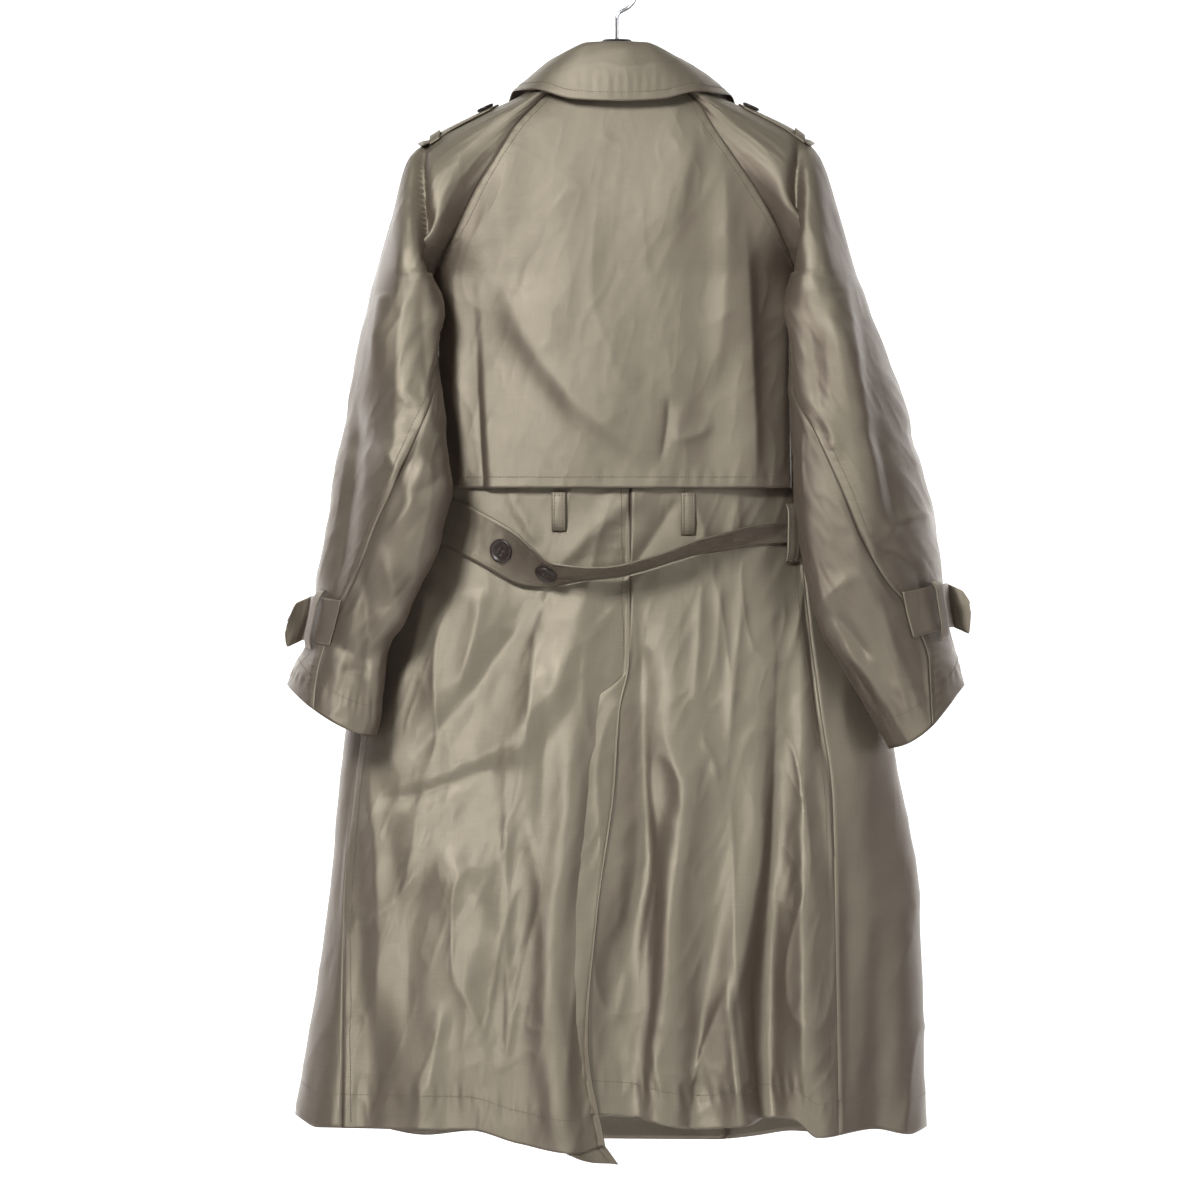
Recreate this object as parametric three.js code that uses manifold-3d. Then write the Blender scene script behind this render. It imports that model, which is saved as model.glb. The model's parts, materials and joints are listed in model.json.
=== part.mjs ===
// Trench coat hanging on a plain hanger, in millimetres, +Z up.
// The origin is the inside top of the hook. The coat's back faces +Y and the
// wearer's left side is +X. Heights are written as a drop below the hook.
import * as THREE from 'three';
import * as BufferGeometryUtils from 'three/addons/utils/BufferGeometryUtils.js';
import Module from 'manifold-3d';

const wasm = await Module();
wasm.setup();

// Driving sizes
const CLOTH = 1.2;
const STRAP = 1.6;
const SEAM_GAP = 0.3;
const LAYER = CLOTH + SEAM_GAP;
const UNDERARM = 306;
const WAIST = 530;
const HEM_LEVEL = 1158;
const CENTRE_BACK = 13;
const FLAP_HEM = 518;
const FRONT_TOP = 125;
const BREAK_POINT = 380;
const FRONT_LAP = 75;
const RIGHT_FRONT_OUT = 6;
const LOOP_RISE = 5.2;
const CUFF_START = 640;
const CUFF_END = 766;
const CUFF_BOW = 0.8;

// Body: half sizes of its oval at each drop, and how far the side seam lies
// from the centre. Above the underarm the seam is the raglan seam.
const BODY = [
  { drop: 116, left: 73, right: 76, back: 34, front: 34, round: 2.2, seamLeft: 65, seamRight: 67 },
  { drop: 133, left: 110, right: 112, back: 39, front: 39, round: 2.3, seamLeft: 81, seamRight: 82 },
  { drop: 155, left: 160, right: 163, back: 45, front: 45, round: 2.4, seamLeft: 102, seamRight: 96 },
  { drop: 178, left: 193, right: 192, back: 51, front: 50, round: 2.4, seamLeft: 117, seamRight: 112 },
  { drop: 214, left: 210, right: 203, back: 58, front: 56, round: 2.4, seamLeft: 139, seamRight: 136 },
  { drop: 259, left: 206, right: 200, back: 65, front: 62, round: 2.2, seamLeft: 161, seamRight: 162 },
  { drop: 306, left: 186, right: 180, back: 70, front: 66, round: 2.1, seamLeft: 186, seamRight: 180 },
  { drop: 340, left: 188, right: 184, back: 73, front: 69, round: 2.1, seamLeft: 188, seamRight: 182 },
  { drop: 430, left: 192, right: 190, back: 76, front: 72, round: 2.1, seamLeft: 190, seamRight: 180 },
  { drop: 530, left: 204, right: 206, back: 77, front: 74, round: 2.2, seamLeft: 198, seamRight: 182 },
  { drop: 630, left: 234, right: 235, back: 82, front: 80, round: 2.2, seamLeft: 224, seamRight: 190 },
  { drop: 730, left: 264, right: 268, back: 88, front: 88, round: 2.2, seamLeft: 251, seamRight: 202 },
  { drop: 830, left: 279, right: 289, back: 94, front: 96, round: 2.2, seamLeft: 264, seamRight: 215 },
  { drop: 930, left: 293, right: 301, back: 100, front: 102, round: 2.2, seamLeft: 274, seamRight: 217 },
  { drop: 1158, left: 323, right: 312, back: 110, front: 112, round: 2.2, seamLeft: 276, seamRight: 220 },
];

// Upright folds of the skirt: where each runs at its two ends, how wide it is
// and how far it stands out of the panel (minus sinks in).
const SKIRT_FOLDS = [
  { from: 700, to: 1158, atTop: -240, atHem: -250, width: 26, height: -9 },
  { from: 860, to: 1158, atTop: -170, atHem: -190, width: 40, height: 6 },
  { from: 560, to: 1158, atTop: -60, atHem: -45, width: 46, height: 10 },
  { from: 640, to: 1000, atTop: 30, atHem: 26, width: 20, height: -7 },
  { from: 700, to: 1158, atTop: 70, atHem: 50, width: 30, height: 6 },
  { from: 900, to: 1158, atTop: 98, atHem: 74, width: 12, height: -8 },
  { from: 820, to: 1158, atTop: 112, atHem: 126, width: 22, height: 10 },
  { from: 600, to: 1158, atTop: 170, atHem: 152, width: 17, height: -14 },
  { from: 640, to: 1158, atTop: 186, atHem: 200, width: 24, height: 9 },
  { from: 900, to: 1158, atTop: 262, atHem: 262, width: 18, height: -6 },
];
const FRONT_FOLDS = [
  { from: 600, to: 1188, atTop: -230, atHem: -240, width: 36, height: 10 },
  { from: 600, to: 1188, atTop: -170, atHem: -165, width: 26, height: -12 },
  { from: 700, to: 1188, atTop: -105, atHem: -110, width: 34, height: 8 },
  { from: 700, to: 1188, atTop: 130, atHem: 140, width: 30, height: -9 },
  { from: 600, to: 1188, atTop: 175, atHem: 190, width: 30, height: 10 },
  { from: 640, to: 1188, atTop: 225, atHem: 246, width: 26, height: -10 },
];

// Hem: its drop at places across the coat, the back's two panels and the front.
const HEM_BACK_LEFT = [
  { across: -323, drop: 1147 },
  { across: -299, drop: 1159 },
  { across: -148, drop: 1160 },
  { across: -98, drop: 1173 },
  { across: -40, drop: 1183 },
  { across: -9, drop: 1175 },
  { across: 14, drop: 1172 },
];
const HEM_BACK_RIGHT = [
  { across: -70, drop: 1142 },
  { across: 8, drop: 1146 },
  { across: 73, drop: 1159 },
  { across: 131, drop: 1156 },
  { across: 152, drop: 1148 },
  { across: 176, drop: 1150 },
  { across: 201, drop: 1168 },
  { across: 259, drop: 1160 },
  { across: 294, drop: 1166 },
  { across: 312, drop: 1159 },
];
const HEM_FRONT = [
  { across: -323, drop: 1147 },
  { across: -299, drop: 1159 },
  { across: -270, drop: 1159 },
  { across: -192, drop: 1171 },
  { across: -150, drop: 1167 },
  { across: -60, drop: 1175 },
  { across: 100, drop: 1176 },
  { across: 140, drop: 1172 },
  { across: 176, drop: 1167 },
  { across: 201, drop: 1168 },
  { across: 259, drop: 1160 },
  { across: 294, drop: 1166 },
  { across: 312, drop: 1159 },
];

// Vent: the left panel's free edge, and the right panel's edge beneath it.
const VENT_EDGE = [
  { drop: 116, over: 13, under: 13, sink: 0 },
  { drop: 664, over: 13, under: 13, sink: 0 },
  { drop: 695, over: 12, under: 12, sink: 1.7 },
  { drop: 740, over: 3, under: -30, sink: 2.6 },
  { drop: 819, over: -3, under: -38, sink: 3 },
  { drop: 930, over: -19, under: -52, sink: 4 },
  { drop: 1050, over: -29, under: -62, sink: 5 },
  { drop: 1158, over: -12, under: -66, sink: 6 },
];

// Sleeves: the outer edge, the inner edge (the raglan seam above the underarm),
// the half depth, how far the sleeve hangs to the back, its lean, and the
// back-arm seam as an angle from the outer edge.
const SLEEVE_LEFT = [
  { drop: 116, inner: 65, outer: 72, outerDrop: 110, deep: 34, hang: 0, lean: 0, seam: 90 },
  { drop: 133, inner: 81, outer: 101, outerDrop: 126, deep: 38, hang: 0, lean: 0, seam: 90 },
  { drop: 155, inner: 102, outer: 139, outerDrop: 143.5, deep: 42, hang: 0, lean: 0, seam: 90 },
  { drop: 178, inner: 117, outer: 177, outerDrop: 163, deep: 46, hang: 2, lean: 0, seam: 95 },
  { drop: 214, inner: 139, outer: 206, outerDrop: 186, deep: 52, hang: 8, lean: 0, seam: 110 },
  { drop: 259, inner: 161, outer: 227, outerDrop: 252, deep: 58, hang: 20, lean: 6, seam: 140 },
  { drop: 306, inner: 189, outer: 242, outerDrop: 306, deep: 60, hang: 32, lean: 14, seam: 174 },
  { drop: 322, inner: 189, outer: 246, outerDrop: 322, deep: 60, hang: 36, lean: 17, seam: 174 },
  { drop: 345, inner: 183, outer: 252, outerDrop: 345, deep: 60, hang: 41, lean: 20, seam: 172 },
  { drop: 365, inner: 179, outer: 258, outerDrop: 365, deep: 60, hang: 44, lean: 22, seam: 170 },
  { drop: 410, inner: 177, outer: 266, outerDrop: 415, deep: 60, hang: 50, lean: 28, seam: 154 },
  { drop: 460, inner: 170, outer: 274, outerDrop: 462, deep: 60, hang: 56, lean: 34, seam: 118 },
  { drop: 520, inner: 165, outer: 285, outerDrop: 515, deep: 60, hang: 70, lean: 40, seam: 92 },
  { drop: 565, inner: 176, outer: 292, outerDrop: 562, deep: 58, hang: 70, lean: 38, seam: 80 },
  { drop: 615, inner: 200, outer: 300, outerDrop: 605, deep: 54, hang: 66, lean: 32, seam: 76 },
  { drop: 652, inner: 219, outer: 304, outerDrop: 637, deep: 50, hang: 62, lean: 28, seam: 68 },
  { drop: 685, inner: 231, outer: 312, outerDrop: 672, deep: 48, hang: 56, lean: 24, seam: 60 },
  { drop: 725, inner: 236, outer: 325, outerDrop: 698, deep: 48, hang: 56, lean: 24, seam: 64 },
  { drop: 766, inner: 241, outer: 331, outerDrop: 715, deep: 48, hang: 56, lean: 24, seam: 68 },
];
const SLEEVE_RIGHT = [
  { drop: 116, inner: 67, outer: 75, outerDrop: 110, deep: 34, hang: 0, lean: 0, seam: 90 },
  { drop: 133, inner: 82, outer: 105, outerDrop: 126, deep: 38, hang: 0, lean: 0, seam: 90 },
  { drop: 155, inner: 96, outer: 141, outerDrop: 142, deep: 42, hang: 0, lean: 0, seam: 90 },
  { drop: 178, inner: 112, outer: 178, outerDrop: 161, deep: 46, hang: 2, lean: 0, seam: 95 },
  { drop: 214, inner: 136, outer: 203, outerDrop: 186, deep: 52, hang: 8, lean: 0, seam: 110 },
  { drop: 259, inner: 162, outer: 225, outerDrop: 252, deep: 58, hang: 20, lean: 6, seam: 140 },
  { drop: 306, inner: 184, outer: 241, outerDrop: 306, deep: 60, hang: 32, lean: 14, seam: 174 },
  { drop: 322, inner: 184, outer: 248, outerDrop: 322, deep: 60, hang: 38, lean: 18, seam: 173 },
  { drop: 342, inner: 178, outer: 254, outerDrop: 342, deep: 60, hang: 42, lean: 20, seam: 172 },
  { drop: 370, inner: 174, outer: 266, outerDrop: 370, deep: 60, hang: 47, lean: 24, seam: 170 },
  { drop: 415, inner: 174, outer: 281, outerDrop: 415, deep: 60, hang: 50, lean: 28, seam: 164 },
  { drop: 460, inner: 175, outer: 295, outerDrop: 462, deep: 60, hang: 54, lean: 30, seam: 130 },
  { drop: 520, inner: 177, outer: 311, outerDrop: 515, deep: 60, hang: 58, lean: 32, seam: 108 },
  { drop: 565, inner: 182, outer: 321, outerDrop: 562, deep: 58, hang: 60, lean: 34, seam: 98 },
  { drop: 615, inner: 191, outer: 327, outerDrop: 600, deep: 54, hang: 60, lean: 34, seam: 84 },
  { drop: 660, inner: 204, outer: 329, outerDrop: 625, deep: 50, hang: 60, lean: 32, seam: 68 },
  { drop: 695, inner: 225, outer: 337, outerDrop: 670, deep: 48, hang: 58, lean: 26, seam: 60 },
  { drop: 735, inner: 249, outer: 344, outerDrop: 692, deep: 48, hang: 56, lean: 22, seam: 70 },
  { drop: 778, inner: 274, outer: 349, outerDrop: 714, deep: 48, hang: 54, lean: 20, seam: 84 },
];
const FRONT_ARM_SEAM = -150;

// Collar: sections round the neck from the centre back to the front tip, each
// from its foot over the roll to the leaf's edge.
const COLLAR = [
  { turn: 0, foot: [0, 34, 115], roll: [0, 36, 72], edge: [0, 60, 130] },
  { turn: 0.22, foot: [34, 31, 115], roll: [28, 33, 73], edge: [44, 56, 128] },
  { turn: 0.42, foot: [62, 18, 113], roll: [52, 20, 82], edge: [84, 40, 118] },
  { turn: 0.56, foot: [70, 0, 107], roll: [60, 0, 88], edge: [103, 4, 118.5] },
  { turn: 0.72, foot: [66, -22, 111], roll: [60, -26, 100], edge: [112, -54, 147] },
  { turn: 0.86, foot: [61, -32, 116], roll: [58, -38, 110], edge: [116, -66, 178] },
  { turn: 1, foot: [57, -36, 122], roll: [56, -44, 120], edge: [104, -74, 206] },
];

// Belt: where its middle line runs round the body (across on the back, or on
// the front where front is 1), how far it stands off, its twist and half width.
const BELT = [
  { across: -206, front: 1, drop: 880, lift: 4, twist: 0, half: 24 },
  { across: -212, front: 1, drop: 790, lift: 4, twist: 0, half: 24 },
  { across: -206, front: 1, drop: 700, lift: 4, twist: 0, half: 24 },
  { across: -200, front: 1, drop: 630, lift: 4, twist: 0, half: 24 },
  { across: -200, front: 1, drop: 588, lift: 4.6, twist: 0, half: 24 },
  { across: -206, front: 1, drop: 562, lift: 5, twist: 0, half: 24 },
  { across: -208, front: 0, drop: 552, lift: 5, twist: 0, half: 24 },
  { across: -190, front: 0, drop: 550, lift: 3.6, twist: 0, half: 24 },
  { across: -166, front: 0, drop: 553, lift: 4, twist: 0, half: 24 },
  { across: -140, front: 0, drop: 565, lift: 7, twist: 4, half: 24 },
  { across: -112, front: 0, drop: 581, lift: 12, twist: 16, half: 24 },
  { across: -85, front: 0, drop: 597, lift: 19, twist: 40, half: 24 },
  { across: -55, front: 0, drop: 604, lift: 27, twist: 70, half: 24 },
  { across: -15, front: 0, drop: 603, lift: 29, twist: 80, half: 24 },
  { across: 35, front: 0, drop: 592, lift: 28, twist: 80, half: 23 },
  { across: 75, front: 0, drop: 578, lift: 24, twist: 72, half: 20 },
  { across: 112, front: 0, drop: 570, lift: 16, twist: 55, half: 15 },
  { across: 145, front: 0, drop: 564, lift: 8, twist: 30, half: 11 },
  { across: 176, front: 0, drop: 562, lift: 3.6, twist: 0, half: 10 },
  { across: 192, front: 0, drop: 561, lift: 3.4, twist: 0, half: 13 },
  { across: 210, front: 0, drop: 560, lift: 4.6, twist: 0, half: 20 },
  { across: 209, front: 1, drop: 568, lift: 5, twist: 0, half: 23 },
  { across: 204, front: 1, drop: 594, lift: 4.6, twist: 0, half: 24 },
  { across: 204, front: 1, drop: 640, lift: 4, twist: 0, half: 24 },
  { across: 210, front: 1, drop: 710, lift: 4, twist: 0, half: 24 },
  { across: 214, front: 1, drop: 800, lift: 4, twist: 0, half: 24 },
  { across: 208, front: 1, drop: 900, lift: 4, twist: 0, half: 24 },
];

const finishes = {
  cloth: { color: 0x938a74, roughness: 0.55, metalness: 0 },
  clothShade: { color: 0x857c67, roughness: 0.55, metalness: 0 },
  button: { color: 0x241f1c, roughness: 0.3, metalness: 0 },
  hanger: { color: 0x1f1e20, roughness: 0.4, metalness: 0 },
  wire: { color: 0xb9bcc0, roughness: 0.25, metalness: 1 },
};

const coat = new THREE.Group();

function addMesh(name, geometry, finish) {
  const mesh = new THREE.Mesh(geometry, new THREE.MeshStandardMaterial(finishes[finish]));
  mesh.name = name;
  coat.add(mesh);
  return mesh;
}

// Across is the distance to the wearer's right, depth the distance to the back.
function place(across, depth, drop) {
  return new THREE.Vector3(-across, depth, -drop);
}

function clamp01(value) {
  return Math.min(1, Math.max(0, value));
}

function ease(start, end, value) {
  const t = clamp01((value - start) / (end - start));
  return t * t * (3 - 2 * t);
}

function mix(a, b, t) {
  return a + (b - a) * t;
}

// A smooth value between the rows of a table, without overshoot.
function between(rows, key, column, at) {
  const last = rows.length - 1;
  if (at <= rows[0][key]) return rows[0][column];
  if (at >= rows[last][key]) return rows[last][column];
  let i = 0;
  while (rows[i + 1][key] < at) i += 1;
  const slope = (k) => (rows[k + 1][column] - rows[k][column]) / (rows[k + 1][key] - rows[k][key]);
  const tangent = (k) => {
    if (k === 0) return slope(0);
    if (k === last) return slope(last - 1);
    const before = slope(k - 1);
    const after = slope(k);
    return before * after <= 0 ? 0 : (2 * before * after) / (before + after);
  };
  const span = rows[i + 1][key] - rows[i][key];
  const t = (at - rows[i][key]) / span;
  const start = rows[i][column];
  const end = rows[i + 1][column];
  const cubic = (2 * t - 3) * t * t;
  const rise = ((t - 2) * t + 1) * t * tangent(i) + (t - 1) * t * t * tangent(i + 1);
  return start + (start - end) * cubic + rise * span;
}

function bodySize(column, drop) {
  return between(BODY, 'drop', column, drop);
}

// The angle round the body's oval (0 is the centre back) of a place across it.
function backAngle(across, drop) {
  const side = across < 0 ? 'left' : 'right';
  const part = Math.min(1, Math.abs(across) / bodySize(side, drop));
  return Math.sign(across) * Math.asin(Math.pow(part, bodySize('round', drop) / 2));
}

function frontAngle(across, drop) {
  return Math.PI - backAngle(across, drop);
}

function foldHeight(folds, across, drop) {
  let sum = 0;
  for (const fold of folds) {
    const grow = ease(fold.from, fold.to, drop);
    const along = clamp01((drop - fold.from) / (fold.to - fold.from));
    const offset = (across - mix(fold.atTop, fold.atHem, along)) / fold.width;
    sum += fold.height * grow * Math.exp(-offset * offset);
  }
  return sum;
}

// A point of the body's mid surface. Lift moves it out of the oval.
function bodyPoint(angle, drop, lift = 0) {
  const sine = Math.sin(angle);
  const cosine = Math.cos(angle);
  const width = bodySize(sine < 0 ? 'left' : 'right', drop);
  const depth = bodySize(cosine < 0 ? 'front' : 'back', drop);
  const round = bodySize('round', drop);
  const power = 2 / round;
  const across = width * Math.sign(sine) * Math.pow(Math.abs(sine), power);
  const deep = depth * Math.sign(cosine) * Math.pow(Math.abs(cosine), power);
  const normalAcross = Math.sign(sine) * Math.pow(Math.abs(sine), 2 - power) / width;
  const normalDeep = Math.sign(cosine) * Math.pow(Math.abs(cosine), 2 - power) / depth;
  const size = Math.hypot(normalAcross, normalDeep);
  const folds = cosine < 0 ? FRONT_FOLDS : SKIRT_FOLDS;
  const fade = ease(0, 0.35, Math.abs(cosine));
  const out = lift + foldHeight(folds, across, drop) * fade;
  return place(across + out * normalAcross / size, deep + out * normalDeep / size, drop);
}

// The outward normal of the body's mid surface.
function bodyNormal(angle, drop) {
  const round = bodyPoint(angle + 0.05, drop).sub(bodyPoint(angle - 0.05, drop));
  const along = bodyPoint(angle, drop + 20).sub(bodyPoint(angle, drop - 20));
  return along.cross(round).normalize();
}

// One sleeve's table, its sign and the helper that gives its mid surface.
function sleeveSide(side) {
  const left = side === 'left';
  return { rows: left ? SLEEVE_LEFT : SLEEVE_RIGHT, sign: left ? -1 : 1, seam: left ? 'seamLeft' : 'seamRight' };
}

// A point of a sleeve's mid surface. Turn runs from 1 at the back raglan seam,
// over 0 at the outer edge, to -1 at the front seam; below the underarm it
// closes into a ring.
function sleeveSection(arm, drop) {
  const size = (column) => between(arm.rows, 'drop', column, drop);
  const inner = size('inner');
  let backSeam = 0;
  let frontSeam = 0;
  if (drop < UNDERARM) {
    const seamAcross = arm.sign * Math.min(inner, bodySize(arm.sign < 0 ? 'left' : 'right', drop));
    backSeam = bodyPoint(backAngle(seamAcross, drop), drop).y;
    frontSeam = bodyPoint(frontAngle(seamAcross, drop), drop).y;
  }
  const middle = (backSeam + frontSeam) / 2;
  const half = (backSeam - frontSeam) / 2;
  const deep = Math.max(size('deep'), half * 1.02);
  const limit = Math.PI - Math.asin(half / deep);
  return { size, inner, middle, deep, limit };
}

function sleevePoint(arm, turn, drop, lift = 0) {
  const { size, inner, middle, deep, limit } = sleeveSection(arm, drop);
  const angle = turn * limit;
  const reach = (Math.cos(angle) - Math.cos(limit)) / (1 - Math.cos(limit));
  const across = mix(inner, size('outer'), reach);
  const bowed = reach ** (1 + CUFF_BOW * ease(CUFF_START, CUFF_END, drop));
  const level = mix(drop, size('outerDrop'), bowed);
  const thin = 1 - 0.25 * clamp01(-Math.cos(angle));
  const pinned = 1 - ease(UNDERARM, UNDERARM + 60, drop);
  const fromSeam = Math.abs(1 - Math.abs(turn));
  const free = mix(1, ease(0, 0.3, fromSeam), pinned);
  const shift = (size('hang') - size('lean') * Math.cos(angle)) * free;
  const thinned = mix(thin, 1, pinned);
  const depth = middle + deep * Math.sin(angle) * thinned + shift;
  const point = place(arm.sign * across, depth, level);
  return lift === 0 ? point : point.addScaledVector(sleeveNormal(arm, turn, drop), lift);
}

// The outward normal of a sleeve's mid surface.
function sleeveNormal(arm, turn, drop) {
  const ahead = sleevePoint(arm, turn + 0.01, drop);
  const below = sleevePoint(arm, turn, drop + 2);
  const round = ahead.sub(sleevePoint(arm, turn - 0.01, drop));
  const along = below.sub(sleevePoint(arm, turn, drop - 2));
  return round.cross(along).normalize().multiplyScalar(arm.sign);
}

// Normals of a grid of points, by the differences to the neighbours.
function gridNormals(grid, wraps) {
  const columns = grid.length;
  const rows = grid[0].length;
  return grid.map((column, i) => column.map((point, j) => {
    const next = wraps ? grid[(i + 1) % columns][j] : grid[Math.min(i + 1, columns - 1)][j];
    const last = wraps ? grid[(i - 1 + columns) % columns][j] : grid[Math.max(i - 1, 0)][j];
    const down = grid[i][Math.min(j + 1, rows - 1)];
    const up = grid[i][Math.max(j - 1, 0)];
    const along = new THREE.Vector3().subVectors(next, last);
    const across = new THREE.Vector3().subVectors(down, up);
    return along.cross(across).normalize();
  }));
}

function moveToward(point, target, distance) {
  const step = new THREE.Vector3().subVectors(target, point);
  return point.clone().addScaledVector(step.normalize(), distance);
}

// Draws the grid's edges in by half a seam gap, or by the distances given.
function trimmed(grid, trim) {
  const columns = grid.length;
  const rows = grid[0].length;
  const result = grid.map((column) => column.map((point) => point.clone()));
  for (let j = 0; j < rows; j += 1) {
    if (trim.first) result[0][j] = moveToward(grid[0][j], grid[1][j], trim.first);
    if (trim.last) result[columns - 1][j] = moveToward(grid[columns - 1][j], grid[columns - 2][j], trim.last);
  }
  for (let i = 0; i < columns; i += 1) {
    if (trim.top) result[i][0] = moveToward(result[i][0], result[i][1], trim.top);
    if (trim.bottom) result[i][rows - 1] = moveToward(result[i][rows - 1], result[i][rows - 2], trim.bottom);
  }
  return result;
}

// The closed wall round a grid of mid-surface points.
function wallGeometry(grid, thickness, options = {}) {
  const wraps = options.wraps ?? false;
  const columns = grid.length;
  const rows = grid[0].length;
  const normals = gridNormals(grid, wraps);
  for (const [edge, column] of [['firstLift', 0], ['lastLift', columns - 1]]) {
    if (!options[edge]) continue;
    options[edge].forEach((lift, j) => {
      if (!lift) return;
      const sign = Math.sign(lift.dot(normals[column][j])) || 1;
      const tall = 1 / Math.max(0.7, Math.abs(lift.dot(normals[column][j])));
      normals[column][j] = lift.clone().multiplyScalar(sign * tall);
    });
  }
  const points = [];
  for (const side of [0.5, -0.5]) {
    grid.forEach((column, i) => column.forEach((point, j) => {
      const moved = point.clone().addScaledVector(normals[i][j], side * thickness);
      points.push(moved.x, moved.y, moved.z);
    }));
  }
  const at = (side, i, j) => side * columns * rows + (i % columns) * rows + j;
  const faces = [];
  const quad = (a, b, c, d) => faces.push(a, b, c, a, c, d);
  const spans = wraps ? columns : columns - 1;
  for (let i = 0; i < spans; i += 1) {
    for (let j = 0; j < rows - 1; j += 1) {
      quad(at(0, i, j), at(0, i + 1, j), at(0, i + 1, j + 1), at(0, i, j + 1));
      quad(at(1, i, j), at(1, i, j + 1), at(1, i + 1, j + 1), at(1, i + 1, j));
    }
    quad(at(0, i, 0), at(1, i, 0), at(1, i + 1, 0), at(0, i + 1, 0));
    quad(at(0, i, rows - 1), at(0, i + 1, rows - 1), at(1, i + 1, rows - 1), at(1, i, rows - 1));
  }
  if (!wraps) {
    for (let j = 0; j < rows - 1; j += 1) {
      quad(at(0, 0, j), at(0, 0, j + 1), at(1, 0, j + 1), at(1, 0, j));
      quad(at(0, columns - 1, j), at(1, columns - 1, j), at(1, columns - 1, j + 1), at(0, columns - 1, j + 1));
    }
  }
  const geometry = new THREE.BufferGeometry();
  geometry.setAttribute('position', new THREE.Float32BufferAttribute(points, 3));
  geometry.setIndex(faces);
  return facingOut(geometry);
}

function facingOut(geometry) {
  const place3 = geometry.getAttribute('position');
  const index = geometry.getIndex().array;
  const a = new THREE.Vector3();
  const b = new THREE.Vector3();
  const c = new THREE.Vector3();
  let volume = 0;
  for (let i = 0; i < index.length; i += 3) {
    a.fromBufferAttribute(place3, index[i]);
    b.fromBufferAttribute(place3, index[i + 1]);
    c.fromBufferAttribute(place3, index[i + 2]);
    volume += a.dot(b.cross(c));
  }
  if (volume < 0) geometry.setIndex(Array.from(index).reverse());
  geometry.computeVertexNormals();
  return geometry;
}

function makeGrid(columns, rows, pointAt) {
  return columns.map((u) => rows.map((v) => pointAt(u, v)));
}

function spread(count) {
  return Array.from({ length: count + 1 }, (unused, i) => i / count);
}

function addSheet(name, grid, options = {}) {
  const trim = options.trim ?? {};
  const thickness = options.thickness ?? CLOTH;
  return addMesh(name, wallGeometry(trimmed(grid, trim), thickness, options), options.finish ?? 'cloth');
}

// Heights shared by the body and the sleeves down to the underarm, so that
// their seams meet point by point, then the heights below it.
const SEAM_DROPS = [116, 124, 133, 144, 155, 166, 178, 195, 214, 236, 259, 283, UNDERARM];
const BODY_DROPS = [335, 375, 420, 470, WAIST, 570, 615, 664, 695, 740, 800, 860, 930, 1000, 1060, 1110, HEM_LEVEL];
const SKIRT_START = 740;

// Below the vent's top the rows fan out to the hem's own line.
function skirtDrop(level, hem) {
  if (level <= SKIRT_START) return level;
  return mix(SKIRT_START, hem, (level - SKIRT_START) / (HEM_LEVEL - SKIRT_START));
}

function seamNormal(arm, back, drop) {
  const across = arm.sign * bodySize(arm.seam, drop);
  const angle = back ? backAngle(across, drop) : frontAngle(across, drop);
  const near = back ? backAngle(across * 0.9, drop) : frontAngle(across * 0.9, drop);
  const seam = bodyPoint(angle, drop);
  const inward = bodyPoint(near, drop).sub(seam).normalize();
  const turn = back ? 1 : -1;
  const outward = sleevePoint(arm, turn * 0.94, drop).sub(sleevePoint(arm, turn, drop)).normalize();
  const upright = bodyPoint(angle, drop + 6).sub(bodyPoint(angle, drop - 6)).normalize();
  const bisector = inward.sub(outward).normalize();
  return bisector.cross(upright).normalize();
}

function raglanLifts(arm, back, drops) {
  return drops.map((drop) => (drop < UNDERARM ? seamNormal(arm, back, drop) : null));
}

const ARMS = { left: sleeveSide('left'), right: sleeveSide('right') };
const PANEL_COLUMNS = 9;

// Back panels
function backPanel(side) {
  const arm = ARMS[side];
  const drops = [...SEAM_DROPS, ...BODY_DROPS];
  const hemRows = side === 'left' ? HEM_BACK_LEFT : HEM_BACK_RIGHT;
  const edge = side === 'left' ? 'over' : 'under';
  const pointAt = (u, level) => {
    const seam = arm.sign * bodySize(arm.seam, level);
    const middle = between(VENT_EDGE, 'drop', edge, level);
    const fromSeam = side === 'left' ? u : 1 - u;
    const angle = mix(backAngle(seam, level), backAngle(middle, level), fromSeam);
    const across = -bodyPoint(angle, level).x;
    const drop = skirtDrop(level, between(hemRows, 'across', 'drop', across));
    const sink = side === 'left' ? 0 : between(VENT_EDGE, 'drop', 'sink', level);
    const near = ease(190, 40, across);
    return bodyPoint(angle, drop, -sink * near);
  };
  const grid = makeGrid(spread(PANEL_COLUMNS), drops, pointAt);
  const lifts = raglanLifts(arm, true, drops);
  addSheet(`back_${side}`, grid, {
    trim: { first: SEAM_GAP / 2, last: SEAM_GAP / 2 },
    ...(side === 'left' ? { firstLift: lifts } : { lastLift: lifts }),
  });
  return pointAt;
}

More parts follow.
